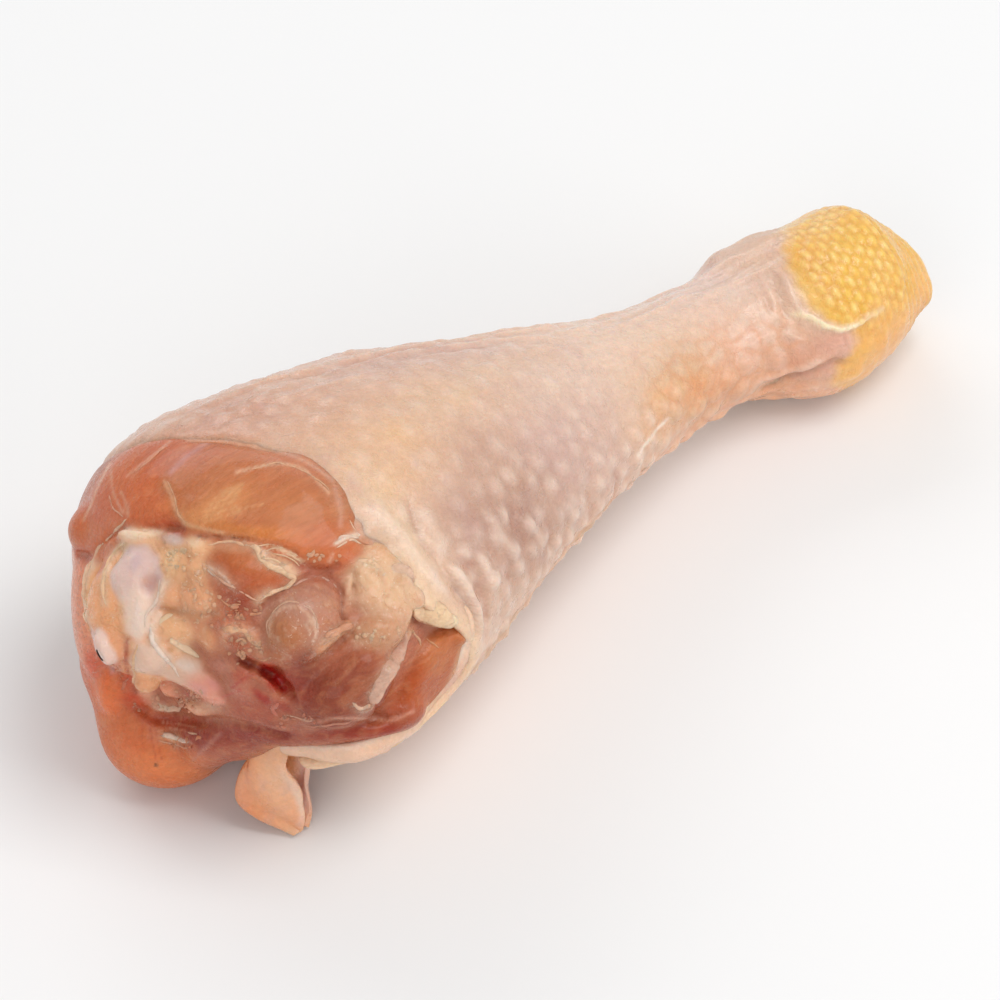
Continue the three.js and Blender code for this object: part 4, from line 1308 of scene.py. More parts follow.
def tissue_at(points, forms, base, reach=0.4):
    """Colours and shares of each tissue at points, from the forms that lie nearest."""
    x, y, z = points.T
    gaps = np.stack([base] + [form.distance(x, y, z) for form in forms], -1)
    weight = np.exp(-np.clip(gaps - gaps.min(-1, keepdims=True), 0, 20) / reach)
    weight /= weight.sum(-1, keepdims=True)
    colours = weight @ np.vstack([linear(CORE_COLOUR)] + [form.colour for form in forms])
    kinds = np.array([muscle] + [form.tissue for form in forms])
    return colours, {kind: weight[:, kinds == kind].sum(-1) for kind in (muscle, fat, membrane, gristle)}


# ---- Colours laid over the cut: blood, membranes, fat and fascia, placed across and up it ----
# Patches: across, up, half length, half width, turn, colour, strength
CUT_PATCHES = (
    # calf muscles: mauve under the fascia, golden in the middle, deep orange at the edges
    (-12.5, 17, 6, 2.6, 8, "#C06D51", 0.75),
    (-24, 10, 3, 4.5, 40, "#C8643E", 0.6),
    (-25.6, 5.6, 2.2, 2, 30, "#CE7348", 0.6),
    (3, 15.8, 6, 1.6, -14, "#C78060", 0.7),
    (9, 11, 1.8, 4.5, 12, "#C0805B", 0.6),
    (-5.6, 10.8, 3.6, 2.2, 18, "#DA9158", 0.65),
    (-9.6, 8.6, 2.6, 1.6, 0, "#DB955F", 0.6),
    (-3, 6.6, 6.4, 1, -4, "#D3803C", 0.75),
    (3.4, 9.6, 4, 2.4, -10, "#C87D4B", 0.6),
    (7, 4.6, 3.6, 2.2, -20, "#CB7040", 0.6),
    (-19, 6.3, 1.6, 0.8, -20, "#E8D2BC", 0.8),
    (-13.2, 5.6, 1.8, 0.8, -12, "#E0CCC2", 0.75),
    (-15, 7.6, 3, 0.8, 2, "#CB5D2D", 0.6),
    (-14.4, 10.2, 2.2, 1, 10, "#D8804D", 0.5),
    (-21.8, 7.6, 1.8, 1.2, 30, "#D17A51", 0.5),
    # short muscle: clear orange, darker at its lower end
    (0.6, 0.4, 2.2, 1.4, -30, "#BA5722", 0.75),
    (-3, 2.2, 3, 1.2, -20, "#C77640", 0.5),
    (-4.4, -2, 2.4, 1.2, -35, "#983517", 0.65),
    (-5.4, 4.4, 2.2, 0.7, -4, "#D19670", 0.5),
    # lobe
    (5, -1.2, 4, 1, -2, "#B6785E", 0.7),
    (7.6, -3.4, 2, 2.2, 0, "#C18A6F", 0.5),
    (7.4, -5.6, 1.6, 1.4, 0, "#B76C46", 0.6),
    (3, -10, 3.4, 1, 0, "#B76843", 0.6),
    # lower muscles
    (3.6, -14.2, 2.2, 3.4, 34, "#963523", 0.8),
    (5, -12.2, 1.8, 2.6, 34, "#863329", 0.6),
    (6.4, -12.6, 2, 3.2, 30, "#853117", 0.5),
    (10.2, -10.4, 3.6, 1.6, 20, "#AD5D3C", 0.6),
    (12, -14, 2.2, 3.4, -20, "#8A3519", 0.5),
    (18.4, -14.6, 1.8, 4.2, -34, "#B24E15", 0.8),
    (22.6, -9.8, 2.4, 3, -30, "#C37640", 0.6),
    # deep red band along the cut's lower edge: red muscle, darkened further by painted shade
    (10, -20.8, 6.6, 0.9, 4, "#962A0F", 0.8),
    (0, -21, 4.4, 1.6, -8, "#881D0A", 0.8),
    (-5.6, -21.4, 4.4, 1.8, 0, "#8D1C09", 0.75),
    (-8.6, -24.2, 3.6, 1.6, 18, "#BB684A", 0.6),
    (-2.6, -17.6, 4.4, 1.4, -14, "#B2533A", 0.7),
    (10, -16.4, 4.4, 2, -10, "#9A4A30", 0.55),
    (9.4, -12.4, 3, 2, 0, "#A0553A", 0.5),
    # blood
    (0.8, -13.4, 2.3, 1.1, -52, "#B10302", 0.95),
    (-0.4, -12.2, 1.2, 0.9, -40, "#B80502", 0.9),
    (-1.2, -15.8, 1.8, 0.6, -40, "#A91D10", 0.85),
    (1.6, -17, 1.8, 0.6, -30, "#9B2618", 0.7),
    (-3.2, -11, 1.1, 0.9, -40, "#A13924", 0.8),
    (-4, -12.8, 1.6, 1, -10, "#C05B46", 0.6),
    (-19.8, -16.8, 1.8, 1.4, -20, "#CE4D22", 0.85),
    (-23.6, -15.4, 2.6, 2.6, -30, "#ED7C44", 0.6),
    (-23.6, -8.8, 0.9, 2.4, 24, "#D9BDB2", 0.8),
    (-22.4, -11.4, 0.7, 1.4, 20, "#DDC0B4", 0.7),
    (-25.4, -11.8, 1.2, 2.2, 10, "#CE492E", 0.65),
    (-21.4, -11.6, 1.2, 1.4, 0, "#CF6C51", 0.7),
    (-20.4, -14, 1.2, 1.6, 0, "#CB5335", 0.7),
    # dark line along the fold between the joint and the sagging muscle: painted shade
    (-14, -19.6, 5, 0.8, 0, "#B74C30", 0.8),
    # sagging muscle: orange and clear towards the floor
    (-15, -26, 7, 2.4, 0, "#E8864E", 0.7),
    (-20.6, -22, 2.6, 3, -30, "#E37A4B", 0.6),
    (-12, -25, 3, 1.4, 10, "#CD6F43", 0.5),
    # joint fat
    (-16.8, 6.4, 2.4, 0.6, 0, "#EBD3B4", 0.7),
    (-10.2, 5.2, 1.4, 0.9, 0, "#E8CFAE", 0.6),
    (-10.1, 0.9, 0.9, 1, 0, "#CD956D", 0.6),
    (-6.9, 0.9, 1.6, 1.1, -40, "#CE9478", 0.6),
    (-13.8, -9.5, 0.5, 0.4, 0, "#C78A50", 0.8),
    (-16.5, 3.1, 0.3, 0.3, 0, "#B5713E", 0.8),
    (-8.6, -7.6, 0.8, 1.8, 0, "#CF9970", 0.5),
    (-15, -11.8, 0.8, 1.2, -10, "#C0968A", 0.7),
    (-6.8, -11.6, 1.8, 1, -10, "#CA856F", 0.6),
    (-9, -17.4, 2.6, 0.9, 0, "#D9AB8E", 0.6),
    (-16.7, -25.8, 0.3, 0.26, 0, "#33261C", 0.9),  # a dark speck
)
GRISTLE_PATCHES = (
    (-16.2, -0.4, 1.5, 1.3, 30, "#BB8C86", 0.8),  # painted mauve shade in the dip of the channel
    (-18.4, 2.4, 0.8, 1.6, -20, "#C5ABB0", 0.6),
    (-18, -5, 0.8, 3, 0, "#DBC8BC", 0.6),
    (-7.6, -14.2, 1.8, 0.9, -20, "#D88E82", 0.85),
    (-9.8, -14.6, 1.4, 0.7, -20, "#DC9A90", 0.7),
    (-11.6, -11.6, 1.6, 0.8, -20, "#DDD0C4", 0.6),
    (-22.8, -12, 0.8, 1, 20, "#D9B0A8", 0.6),
)
# Lines: path across and up, half width, colour, strength
CUT_LINES = (
    # pale streaks and the fascia's arc on the calf muscles
    (((-14.2, 18.9), (-17, 16.6), (-20.1, 14.1)), 0.16, "#DFA489", 0.75),
    (((-15.8, 17.4), (-17.8, 15.6), (-19.4, 13.8)), 0.12, "#D99A80", 0.6),
    (((-8.7, 19), (-11.4, 17), (-13.8, 14.6)), 0.42, "#C98E84", 0.7),
    # pale line along the skin's edge at the far left: a painted highlight
    (((-22.8, 16), (-24.1, 13.2), (-25.4, 10), (-26.4, 8)), 0.2, "#E6AE8C", 0.7),
    (((-22.5, 14.9), (-21.8, 11.6), (-20.4, 9.2)), 0.2, "#DDA284", 0.6),
    (((-20.8, 12), (-19.8, 10), (-19.6, 8.6)), 0.22, "#DDA284", 0.6),
    (((-14.6, 13.4), (-13.7, 11.7), (-12.9, 9.6), (-11.7, 7.8)), 0.26, "#DFAC86", 0.65),
    (((-11.6, 7.6), (-9, 7), (-6.4, 6.4)), 0.3, "#E0B288", 0.6),
    (((-4.8, 14.6), (-1.3, 15.5), (1.4, 15.8), (4.1, 15.2), (6.2, 13.5), (7.8, 11.8)), 0.2, "#E0AF8E", 0.8),
    (((8.6, 12.6), (9.4, 9.6), (9.4, 7.4)), 0.35, "#D5A088", 0.6),
    # pale line along the skin's edge over the calf muscles: a painted highlight
    (((-9, 19.2), (-4.8, 18.7), (-1.3, 17.9), (2.2, 17.1), (5.1, 15.8), (8.2, 13.6)), 0.3, "#D9A992", 0.6),
    # fine fibres in the middle of the near calf muscle, painted bright as highlights on them
    (((-8.6, 9.4), (-5, 10.7)), 0.24, "#E8B884", 0.35),
    (((-8.2, 10.2), (-4.6, 11.5)), 0.24, "#E8B884", 0.35),
    (((-7.6, 11), (-4.2, 12.3)), 0.24, "#E8B884", 0.35),
    (((-6.8, 11.8), (-3.8, 13)), 0.24, "#E8B884", 0.3),
    (((-8.8, 8.6), (-4.6, 10)), 0.24, "#E8B884", 0.35),
    (((-8.8, 7.9), (-4, 9.3)), 0.24, "#E8B884", 0.3),
    (((-5, 9.4), (-1, 10.4)), 0.10, "#DFA874", 0.6),
    # threads of fascia between the calf muscle and the short one
    (((-0.4, 4.8), (2.6, 3.6), (4.2, 2.4)), 0.12, "#E8C29C", 0.8),
    (((0.4, 4.9), (3.2, 3.4), (4.6, 2.2)), 0.10, "#E8C29C", 0.8),
    (((1.4, 4.6), (3.8, 3.3), (5, 2.4)), 0.10, "#E8C29C", 0.7),
    (((-0.9, 4.2), (1.6, 3), (3.2, 1.9)), 0.10, "#E2B48C", 0.7),
    (((8.8, 5), (10.4, 5.9), (12.6, 6.3)), 0.3, "#EED6C2", 0.85),
    (((8.4, 3.6), (8, 2.6)), 0.2, "#E2B49A", 0.6),
    (((-8.3, 1.9), (-6.4, 0.9), (-5.2, -0.6)), 0.14, "#EBD0BC", 0.6),
    # rings in the lobe and round the ball
    (((-0.6, -3.6), (1.8, -1.8), (5.4, -0.9), (8.4, -2)), 0.2, "#A8705E", 0.5),
    (((0, -7.4), (0.2, -5), (1.8, -3.6), (3.8, -3.5), (5.4, -4.8), (6.1, -6.4)), 0.22, "#D9AE92", 0.7),
    (((6, -4.8), (6.4, -6.4), (5.9, -8)), 0.16, "#E6C8B0", 0.7),
    (((-1.2, -4.6), (0.4, -3), (2.6, -2.2)), 0.2, "#CFA08A", 0.5),
    # veins, and red lines in the creases, darkened there as painted shade
    (((-4.4, -10.7), (-2.4, -11.6), (0, -12.6)), 0.3, "#8C2418", 0.9),
    (((-5.4, -14.6), (-3.6, -13.2), (-2, -12.6)), 0.2, "#B0433A", 0.7),
    (((-12, -15.6), (-8, -16.2), (-4.2, -14.8)), 0.2, "#BC5548", 0.7),
    (((-22.5, 2.8), (-23.2, 1.9), (-23.9, 0.8)), 0.3, "#D07F6C", 0.8),
    (((-19.6, -8.2), (-19.8, -11), (-19.5, -15.6)), 0.22, "#B04E38", 0.8),
    (((-25.6, -5.6), (-25, -7.2)), 0.25, "#AE4232", 0.8),
    (((-25, -7.4), (-24, -10), (-22.6, -12.8)), 0.5, "#D9BDBC", 0.4),
    # membrane's pale edge above the dark band, and the darker line under it, which is painted shade
    (((6.4, -19.1), (9.4, -18.6), (13.2, -18.9), (16, -19.2), (19.2, -18)), 0.28, "#CF937A", 0.65),
    (((-2.4, -19.4), (1.4, -20.2), (5.6, -19.2)), 0.3, "#B5705C", 0.5),
    # stringy fibres on the sagging muscle
    (((-17.6, -19.2), (-17.2, -22), (-16.6, -25.2)), 0.12, "#C25632", 0.7),
    (((-17, -19.4), (-16.4, -22.4), (-15.9, -25)), 0.10, "#C25632", 0.6),
    (((-18.4, -19.6), (-18.6, -22), (-18.2, -24)), 0.10, "#C85E3C", 0.5),
    (((-15.6, -21.4), (-13.6, -21.9), (-11.6, -22.5)), 0.10, "#F0D6C0", 0.9),
    (((-15.4, -22.6), (-13.6, -23), (-11.8, -23.4)), 0.14, "#A8492F", 0.7),
    (((-16, -19.9), (-13, -20.1), (-10.6, -20.4)), 0.10, "#E0A48A", 0.6),
    (((-15, -20.6), (-12.4, -20.9)), 0.10, "#E0A48A", 0.6),
    (((-7.4, -21.2), (-9.4, -23), (-11.4, -25)), 0.3, "#C28676", 0.5),
)


def on_cut(points):
    """Places across and up the knee cut, and how far out of the knee's middle."""
    return ((points - KNEE_MIDDLE) @ face_frame.T).T


def painted(colours, points, patches, lines):
    """Lays patches and lines of colour over the ones that are there, where they face the cut."""
    across, up, out = on_cut(points)
    facing = smooth(-14.0, -2.0, out)
    ragged = 1 + 0.45 * noise(points, 2.2, 51)
    for a, u, length, width, turn, colour, strength in patches:
        c, s = math.cos(math.radians(turn)), math.sin(math.radians(turn))
        along = ((across - a) * c + (up - u) * s) / length
        aside = ((up - u) * c - (across - a) * s) / width
        share = strength * facing * np.exp(-((along**2 + aside**2) * ragged) ** 1.5)
        colours = laid_over(colours, colour, share)
    for path, half_width, colour, strength in lines:
        places = curve_through(np.array(path, float), 5)
        gap = np.full(len(points), 1e3)
        for (a0, u0), (a1, u1) in zip(places, places[1:]):
            way = np.array([a1 - a0, u1 - u0])
            t = np.clip(((across - a0) * way[0] + (up - u0) * way[1]) / (way @ way), 0, 1)
            gap = np.minimum(gap, np.hypot(across - a0 - t * way[0], up - u0 - t * way[1]))
        wander = 1 + 0.4 * noise(points, 1.6, 52)
        share = strength * facing * np.exp(-((gap / (half_width * wander)) ** 2))
        colours = laid_over(colours, colour, share)
    return colours


RELAX_ROUNDS = 2
flesh_forms = sagging + lumps + bits + clefts + ridges + hollows
meat_points, meat_faces = net_surface(meat_field)
meat_points = relax(meat_points, meat_faces, RELAX_ROUNDS)
base = core_distance(*meat_points.T, THICKNESS)
meat_colours, meat_tissue = tissue_at(meat_points, flesh_forms, base)
meat_colours = painted(meat_colours, meat_points, CUT_PATCHES, CUT_LINES)
# the gristle shows white through the film of flesh on it
above = sample(gristle_field, meat_points) + 0.35 * noise(meat_points, 1.4, 55)
over_gristle = smooth(1.15, 0.3, above)
gristle_there, _ = tissue_at(meat_points, condyles, np.full(len(meat_points), FAR_OFF))
gristle_there = painted(gristle_there, meat_points, GRISTLE_PATCHES, ())
meat_colours = laid_over(meat_colours, gristle_there, 0.95 * over_gristle)
cut_across, cut_up, _ = on_cut(meat_points)
# frothy connective tissue: middle across and up the cut, and reach
froth = 0.0
for at, reach in (((-4.2, -5.6), (3.8, 4.6)), ((-13.6, -16.6), (7.0, 1.6))):
    away = ((cut_across - at[0]) / reach[0]) ** 2 + ((cut_up - at[1]) / reach[1]) ** 2
    froth = np.maximum(froth, np.exp(-away))
for tissue in meat_tissue:
    meat_tissue[tissue] = meat_tissue[tissue] * (1 - 0.85 * over_gristle)
meat = piece_from("meat", meat_points, meat_faces, meat_colours, froth=froth, **meat_tissue)

gristle_points, gristle_faces = net_surface(gristle_field)
gristle_points = relax(gristle_points, gristle_faces, RELAX_ROUNDS)
gristle_colours, _ = tissue_at(gristle_points, condyles, np.full(len(gristle_points), FAR_OFF))
gristle_colours = painted(gristle_colours, gristle_points, GRISTLE_PATCHES, ())
above = sample(flesh_field, gristle_points) + 0.3 * noise(gristle_points, 1.3, 53)
fat_there, _ = tissue_at(gristle_points, flesh_forms, core_distance(*gristle_points.T, THICKNESS))
fat_there = painted(fat_there, gristle_points, CUT_PATCHES, ())
gristle_colours = laid_over(gristle_colours, fat_there, 0.85 * smooth(0.75, 0.05, above))
joint = piece_from("joint_gristle", gristle_points, gristle_faces, gristle_colours)


def flesh_material(name="raw wet meat", radius=(1.8, 0.8, 0.5)):
    """Raw meat: wet translucent muscle and fat. Light sinks a few millimetres into it, and the
    film of juice on it gives small sharp highlights that break up on the fibres."""
    made, tree, shader = surface(name, 0.4, radius, IOR=1.36, Coat_Weight=0.25,
                                 Coat_Roughness=0.1, Specular_IOR_Level=0.4)
    place = add(tree, "TexCoord", out="Object")
    colour, lean, fatty, film = marks_on(tree, "muscle", "fat", "membrane")
    # fibres, about 0.5 mm apart, run the way the muscles pull
    run = add(tree, "Mapping", place, Rotation=(0.35, 0.75, 0.55), Scale=(0.22, 1.0, 1.0))
    fibre = mottle(tree, run, 0.55, (), 4.0, 0.6, 0.35)
    streak = mottle(tree, run, 1.6, (0.45, 0.72), 3.0, 0.55, 0.6)
    colour = tint(tree, colour, "#DE9A6C", streak, lean, 0.22)
    fine = add(tree, "MapRange", fibre, 0.25, 0.8, 0.9, 1.08, interpolation_type="SMOOTHSTEP")
    shade = add(tree, "CombineColor", fine, fine, fine)
    colour = tint(tree, colour, tint(tree, colour, shade, 1.0, blend="MULTIPLY"), lean)
    # fat is mottled with white, and with orange where it is thin; membranes are white threads
    thin_fat = mottle(tree, place, 2.2, (0.48, 0.66), 5.0, 0.6, 0.8)
    threads = mottle(tree, run, 0.5, (0.54, 0.64), 5.0, 0.7, 1.8)
    for over, where, tissue, strength in (
        ("#F0DCC2", mottle(tree, place, 1.5, (0.5, 0.8), 4.0, 0.6), fatty, 0.3),
        ("#D0905E", thin_fat, fatty, 0.25),
        ("#F6E6D2", mottle(tree, place, 0.55, (0.6, 0.7), 3.0, 0.7, 0.6), fatty, 0.4),
        ("#F4DDCC", threads, film, 0.45),
        ("#F2DDD0", mottle(tree, place, 0.9, (0.5, 0.75), 4.0, 0.7), film, 0.3),
    ):
        colour = tint(tree, colour, over, where, tissue, strength)
    rough = mottle(tree, place, 1.8, (0.3, 0.7), give=(0.22, 0.42))
    finish_with(tree, shader, colour, rough, (product(tree, fibre, lean), 0.22),
                (mottle(tree, place, 0.8, (), 4.0, 0.6), 0.2),
                (product(tree, thin_fat, fatty, -1.0), 0.1), (product(tree, threads, film), 0.1))
    return made


def gristle_material():
    """Joint gristle: smooth bluish-white cartilage, wet and glassy, with fat clinging to it."""
    made, tree, shader = surface("wet joint gristle", 0.35, (1.6, 1.1, 0.9), IOR=1.4, Coat_Weight=0.5,
                                 Coat_Roughness=0.08, Roughness=0.25)
    place = add(tree, "TexCoord", out="Object")
    cloud = mottle(tree, place, 2.2, (0.4, 0.75), 4.0, 0.6)
    colour = tint(tree, marks_on(tree)[0], "#EDE2DC", cloud, 0.25)
    finish_with(tree, shader, colour, None, (mottle(tree, place, 1.6), 0.18))
    return made


def flesh_relief_tree():
    """Swells fat into lobules and roughens connective tissue into froth."""
    tree, given = new_tree("Flesh relief", {
        "Lobule size": 2.4, "Lobule rise": 0.35, "Froth size": 0.9, "Froth rise": 0.3,
    })
    position = add(tree, "InputPosition")
    heights = []
    for swell, tissue in (("Lobule", "fat"), ("Froth", "froth")):
        per_metre = add(tree, "Math", 1 / MM, given[f"{swell} size"], operation="DIVIDE")
        gap = add(tree, "TexVoronoi", Vector=position, Scale=per_metre, Smoothness=0.6,
                  feature="SMOOTH_F1", out="Distance")
        round_top = add(tree, "Math", 0.5, gap, operation="SUBTRACT")
        where = add(tree, "InputNamedAttribute", tissue, data_type="FLOAT")
        heights.append(product(tree, round_top, product(tree, given[f"{swell} rise"], MM), where))
    return lift_out(tree, given, add(tree, "Math", *heights, operation="ADD"), given["Mesh"])


flesh_finish = flesh_material()
modifier(meat, flesh_relief_tree(), Lobule_size=1.9, Lobule_rise=0.26, Froth_size=1.3, Froth_rise=0.7,
         Finish=flesh_finish)
settle(meat)
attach(meat, "root")
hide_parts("meat")
joint_finish = gristle_material()
joint.data.materials.append(joint_finish)
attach(joint, "root")
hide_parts("shinbone")


# ==== Fascia ==================================================================================
# The tough white membranes of the knee, cut and torn with it: they edge the muscles, wrap the
# fat, and end in the flat tendon on the near muscle. They lie on the flesh and are grown to it.

# Places across and up the cut, half widths in mm along it, thickness as a share of the width
WHITE, CREAM, TAN = "#EACFBC", "#E9C19C", "#D6966F"
FASCIA = (
    # round the short muscle
    (((-3.4, 4.75), (-1.9, 4.4), (-1.2, 2.9), (0.3, 1.8), (2.1, 1.1), (3.2, 0.3), (2.1, -0.8), (0.3, -1.5),
      (-1.2, -2.6)), (0.2, 0.4, 0.35, 0.4, 0.55, 0.4, 0.3, 0.15), 0.4, CREAM),
    (((-8.5, 4.7), (-5.6, 5.3), (-3.4, 4.75)), (0.1, 0.22, 0.2), 0.6, "#E6B994"),
    (((-8.6, 2), (-6.3, 0), (-3.7, -1.5), (-1.5, -2.6)), (0.15, 0.25, 0.2, 0.1), 0.6, "#DFA98C"),
    (((-8.4, 1.6), (-7.2, 0.5)), (0.25, 0.35, 0.15), 0.5, WHITE),
    # threads from it to the calf muscle
    (((-1.9, 4.4), (0.6, 4.9), (3.9, 3.3)), (0.1, 0.13, 0.1), 0.8, CREAM),
    (((-1, 4), (1.4, 4.3), (4.3, 2.5)), (0.1, 0.12, 0.1), 0.8, CREAM),
    (((0.4, 3.7), (2.4, 3.2), (4, 2)), (0.1, 0.12, 0.08), 0.8, "#EBC19A"),
    (((-1.2, 3.2), (0.8, 2.7), (2.6, 1.8)), (0.1, 0.14, 0.1), 0.8, "#EBC19A"),
    # tufts where the calf muscle meets the skin
    (((8.6, 5.2), (9.8, 6), (11.9, 5.6)), (0.12, 0.28, 0.3, 0.12), 0.5, WHITE),
    (((8.9, 4.4), (10.6, 5.4), (12.2, 4.9)), (0.1, 0.2, 0.1), 0.6, "#F0CDB0"),
    (((10.6, 8.2), (11.2, 7), (12, 6.4)), (0.1, 0.18, 0.1), 0.6, "#EBC0A0"),
    # arcs on the calf muscles
    (((-2.6, 14.9), (0.3, 15.8), (3.2, 15.3), (6.1, 13.6), (7.9, 12)), (0.08, 0.15, 0.16, 0.12, 0.08), 0.5,
     "#E6B692"),
    (((-14.3, 13.5), (-13.2, 11.3), (-12.5, 9), (-11.6, 7.7)), (0.08, 0.15, 0.2, 0.2), 0.5, "#E0AA84"),
    (((-14.6, 18.2), (-16.8, 16.2), (-19, 14.6)), (0.08, 0.14, 0.08), 0.5, "#DFA588"),
    (((-22.5, 11.6), (-21.9, 9.8), (-20.3, 8.6)), (0.08, 0.16, 0.12), 0.5, "#E0A688"),
    # edges of the fat under the joint
    (((-19.8, 8.3), (-21.9, 6.2), (-24.5, 3.6), (-25.9, 0), (-26, -2.9), (-25.2, -5.8)),
     (0.2, 0.3, 0.35, 0.35, 0.3, 0.12), 0.5, "#EBC8A8"),
    (((-19.2, 5.4), (-21.5, 4), (-22.7, 1.4), (-22.8, -1.5), (-22.3, -3.4)), (0.15, 0.25, 0.25, 0.12), 0.5,
     "#E6BC94"),
    (((-16.4, -6.2), (-16.1, -8.2), (-14.9, -10), (-13.6, -11.5), (-12.6, -13.2)),
     (0.15, 0.35, 0.35, 0.3, 0.15), 0.5, "#EBD6C8"),
    (((-18.2, -8.6), (-18.7, -10.9), (-18.8, -13.1), (-18.9, -15.4)), (0.15, 0.28, 0.25, 0.12), 0.5,
     "#E2B48E"),
    (((-15, 0.2), (-15.5, -2.6), (-16.8, -4.4), (-17.2, -6.4)), (0.15, 0.25, 0.25, 0.1), 0.5, "#E6CDBE"),
    (((-13.6, -7.8), (-12, -8.8), (-9.8, -10.4)), (0.5, 1, 0.3), 0.35, "#EBCFAE"),
    (((-13.2, -4.6), (-14.6, -5.4), (-15.6, -6.8)), (0.4, 0.8, 0.5), 0.35, "#EBCBA6"),
    # round the lobe and the ball in it
    (((0.2, -1.9), (3.2, -0.7), (6.1, 0.5), (8.6, -0.7), (9.7, -2.9), (9.4, -4.6)),
     (0.1, 0.2, 0.2, 0.15, 0.08), 0.5, "#CF9C86"),
    (((0.2, -8.4), (-0.3, -5.9), (1.4, -3.3), (3.9, -2.9), (6.1, -4.7), (6.3, -7.2)),
     (0.08, 0.14, 0.14, 0.08), 0.5, "#D8A98C"),
    (((7.4, -7.7), (9.2, -6.7), (11, -5.8)), (0.5, 0.6, 0.5), 0.6, "#D29877"),
    # over the fat beside the skin
    (((11.6, 2.6), (13.6, 2.2), (15, 1.2)), (0.3, 0.8, 0.3), 0.3, "#E3BC98"),
    (((15, 0.8), (16.6, 1.3), (18.2, 1), (19.3, -0.4)), (0.2, 0.8, 0.9, 0.3), 0.3, "#DCB89E"),
    (((13.6, -8.8), (13.8, -7.4), (14.4, -6.2)), (0.1, 0.16, 0.1), 0.5, "#E0B89C"),
    (((18.9, -6.9), (19.6, -7.9), (20.2, -9.2)), (0.12, 0.22, 0.1), 0.5, "#E0B08A"),
    (((20.6, -7.6), (21.4, -8.6), (22.6, -9.4)), (0.1, 0.18, 0.08), 0.5, "#DDA478"),
    (((19.3, -4), (21, -4.2), (22.8, -5), (24.8, -6.4)), (1.2, 1.9, 1.7, 0.7), 0.4, "#E6C39C"),
    # the tendon, and the hook at its end
    (((18.3, -7), (16.8, -10), (15.6, -12.4), (14.5, -14.6), (13.5, -16.6)), (0.6, 1.3, 1.25, 1.1, 1.15),
     0.28, "#D2A893"),
    (((13.4, -16.7), (12, -17.2), (11.1, -16.4)), (0.4, 0.35, 0.2), 0.5, "#D6AC92"),
    # under the blood pocket
    (((14.1, -18.2), (10.5, -19.3), (7.5, -19.5), (3.9, -20)), (0.12, 0.22, 0.22, 0.1), 0.5, "#CC8E76"),
    (((2, -18.2), (4.2, -18.8), (6, -18.9)), (0.1, 0.22, 0.12), 0.5, "#D9A68C"),
    (((1, -16.6), (0.2, -17.4), (0.8, -18.4)), (0.3, 0.4, 0.2), 0.6, "#C4705C"),
    # torn shreds between the joint and the lobe
    (((-6.3, -6.7), (-5.2, -6.5), (-3.4, -6.9), (-2.1, -8.6)), (0.2, 0.5, 0.4, 0.2), 0.45, "#E2AC84"),
    (((-5.2, -8.4), (-3.8, -7.6), (-2.6, -8.8)), (0.12, 0.3, 0.15), 0.6, "#E3AC86"),
    (((-3.6, -3.4), (-2.6, -4.4), (-1, -4.2)), (0.1, 0.25, 0.1), 0.6, TAN),
    (((-6.6, -2.4), (-5.4, -3.4), (-3.8, -3.2)), (0.1, 0.25, 0.12), 0.6, TAN),
    (((-2.6, -10), (-1, -10.8), (0.2, -10.2)), (0.12, 0.25, 0.1), 0.6, TAN),
    # slivers of sinew on the sagging muscle
    (((-16.2, -17.2), (-14.6, -17.5), (-13, -17.7)), (0.5, 0.9, 0.5), 0.35, "#E2BCA0"),
    (((-15.9, -21.6), (-14.2, -21.9), (-11.9, -22.5)), (0.25, 0.42, 0.3), 0.45, WHITE),
    (((-16.2, -22.4), (-14.2, -22.9), (-12, -23.3)), (0.1, 0.16, 0.1), 0.6, "#E6A888"),
    (((-12, -20.9), (-10.6, -21.2)), (0.1, 0.15, 0.08), 0.6, "#E6B898"),
)
# Crumbs of it, and of fat: colour, middle and half size of where they lie, how many
CRUMBS = (
    ("#C98C6A", (-4.6, -4.6), (3.2, 2.4), 34),
    ("#D49E7A", (-3.6, -8.8), (2.8, 2.4), 36),
    ("#D69A7C", (-14.6, -17), (5, 1.2), 30),
    ("#DBA788", (-11, -16.2), (5, 1), 22),
    ("#C47A60", (2.6, -18.6), (3.2, 1.2), 16),
    ("#DDB08C", (14.4, -7), (3, 1.2), 14),
    ("#DEB48E", (-13.2, 3.4), (3.4, 1.8), 30),
    ("#DBA884", (-9.4, -2), (2.6, 4), 30),
    ("#D07E62", (-21, -12.6), (1.4, 2.4), 10),
    ("#D98A62", (-13.8, -22.4), (3.4, 1.6), 12),
    ("#D9A584", (6.6, 3), (3, 1), 8),
)
FASCIA_AROUND, FASCIA_STEP, CRUMB_STEP = 10, 8, 3
LAID_FLAT = 1.0  # bands as wide as this, in millimetres, bridge the hollows under them


def fine_landing(across, up):
    """How far out the flesh lies at a place on the cut, to a few hundredths of a millimetre."""
    outs = landing(across, up) + np.linspace(0.6, -0.6, 13)
    start = KNEE_MIDDLE + np.array([across, up, 0.0]) @ face_frame
    gaps = sample(meat_field, start + outs[:, None] * face_out)
    first = np.argmax(gaps < 0)
    if first == 0:
        return outs[6]
    share = gaps[first - 1] / (gaps[first - 1] - gaps[first])
    return outs[first - 1] + (outs[first] - outs[first - 1]) * share


def cling(points, rounds=8):
    """Draws points on to the nearest place on the flesh."""
    for _ in range(rounds):
        gap = sample(meat_field, points)
        slope = np.stack([sample(meat_field, points + step) - sample(meat_field, points - step)
                          for step in 0.25 * np.eye(3)], -1) / 0.5
        points = points - gap[:, None] * slope / np.maximum(np.sum(slope**2, -1, keepdims=True), 0.3)
    return points


def even(values, rounds):
    """Evens out a row of numbers, keeping its ends."""
    for _ in range(rounds):
        between = (values[:-2] + 2 * values[1:-1] + values[2:]) / 4
        values = np.concatenate([values[:1], between, values[-1:]])
    return values


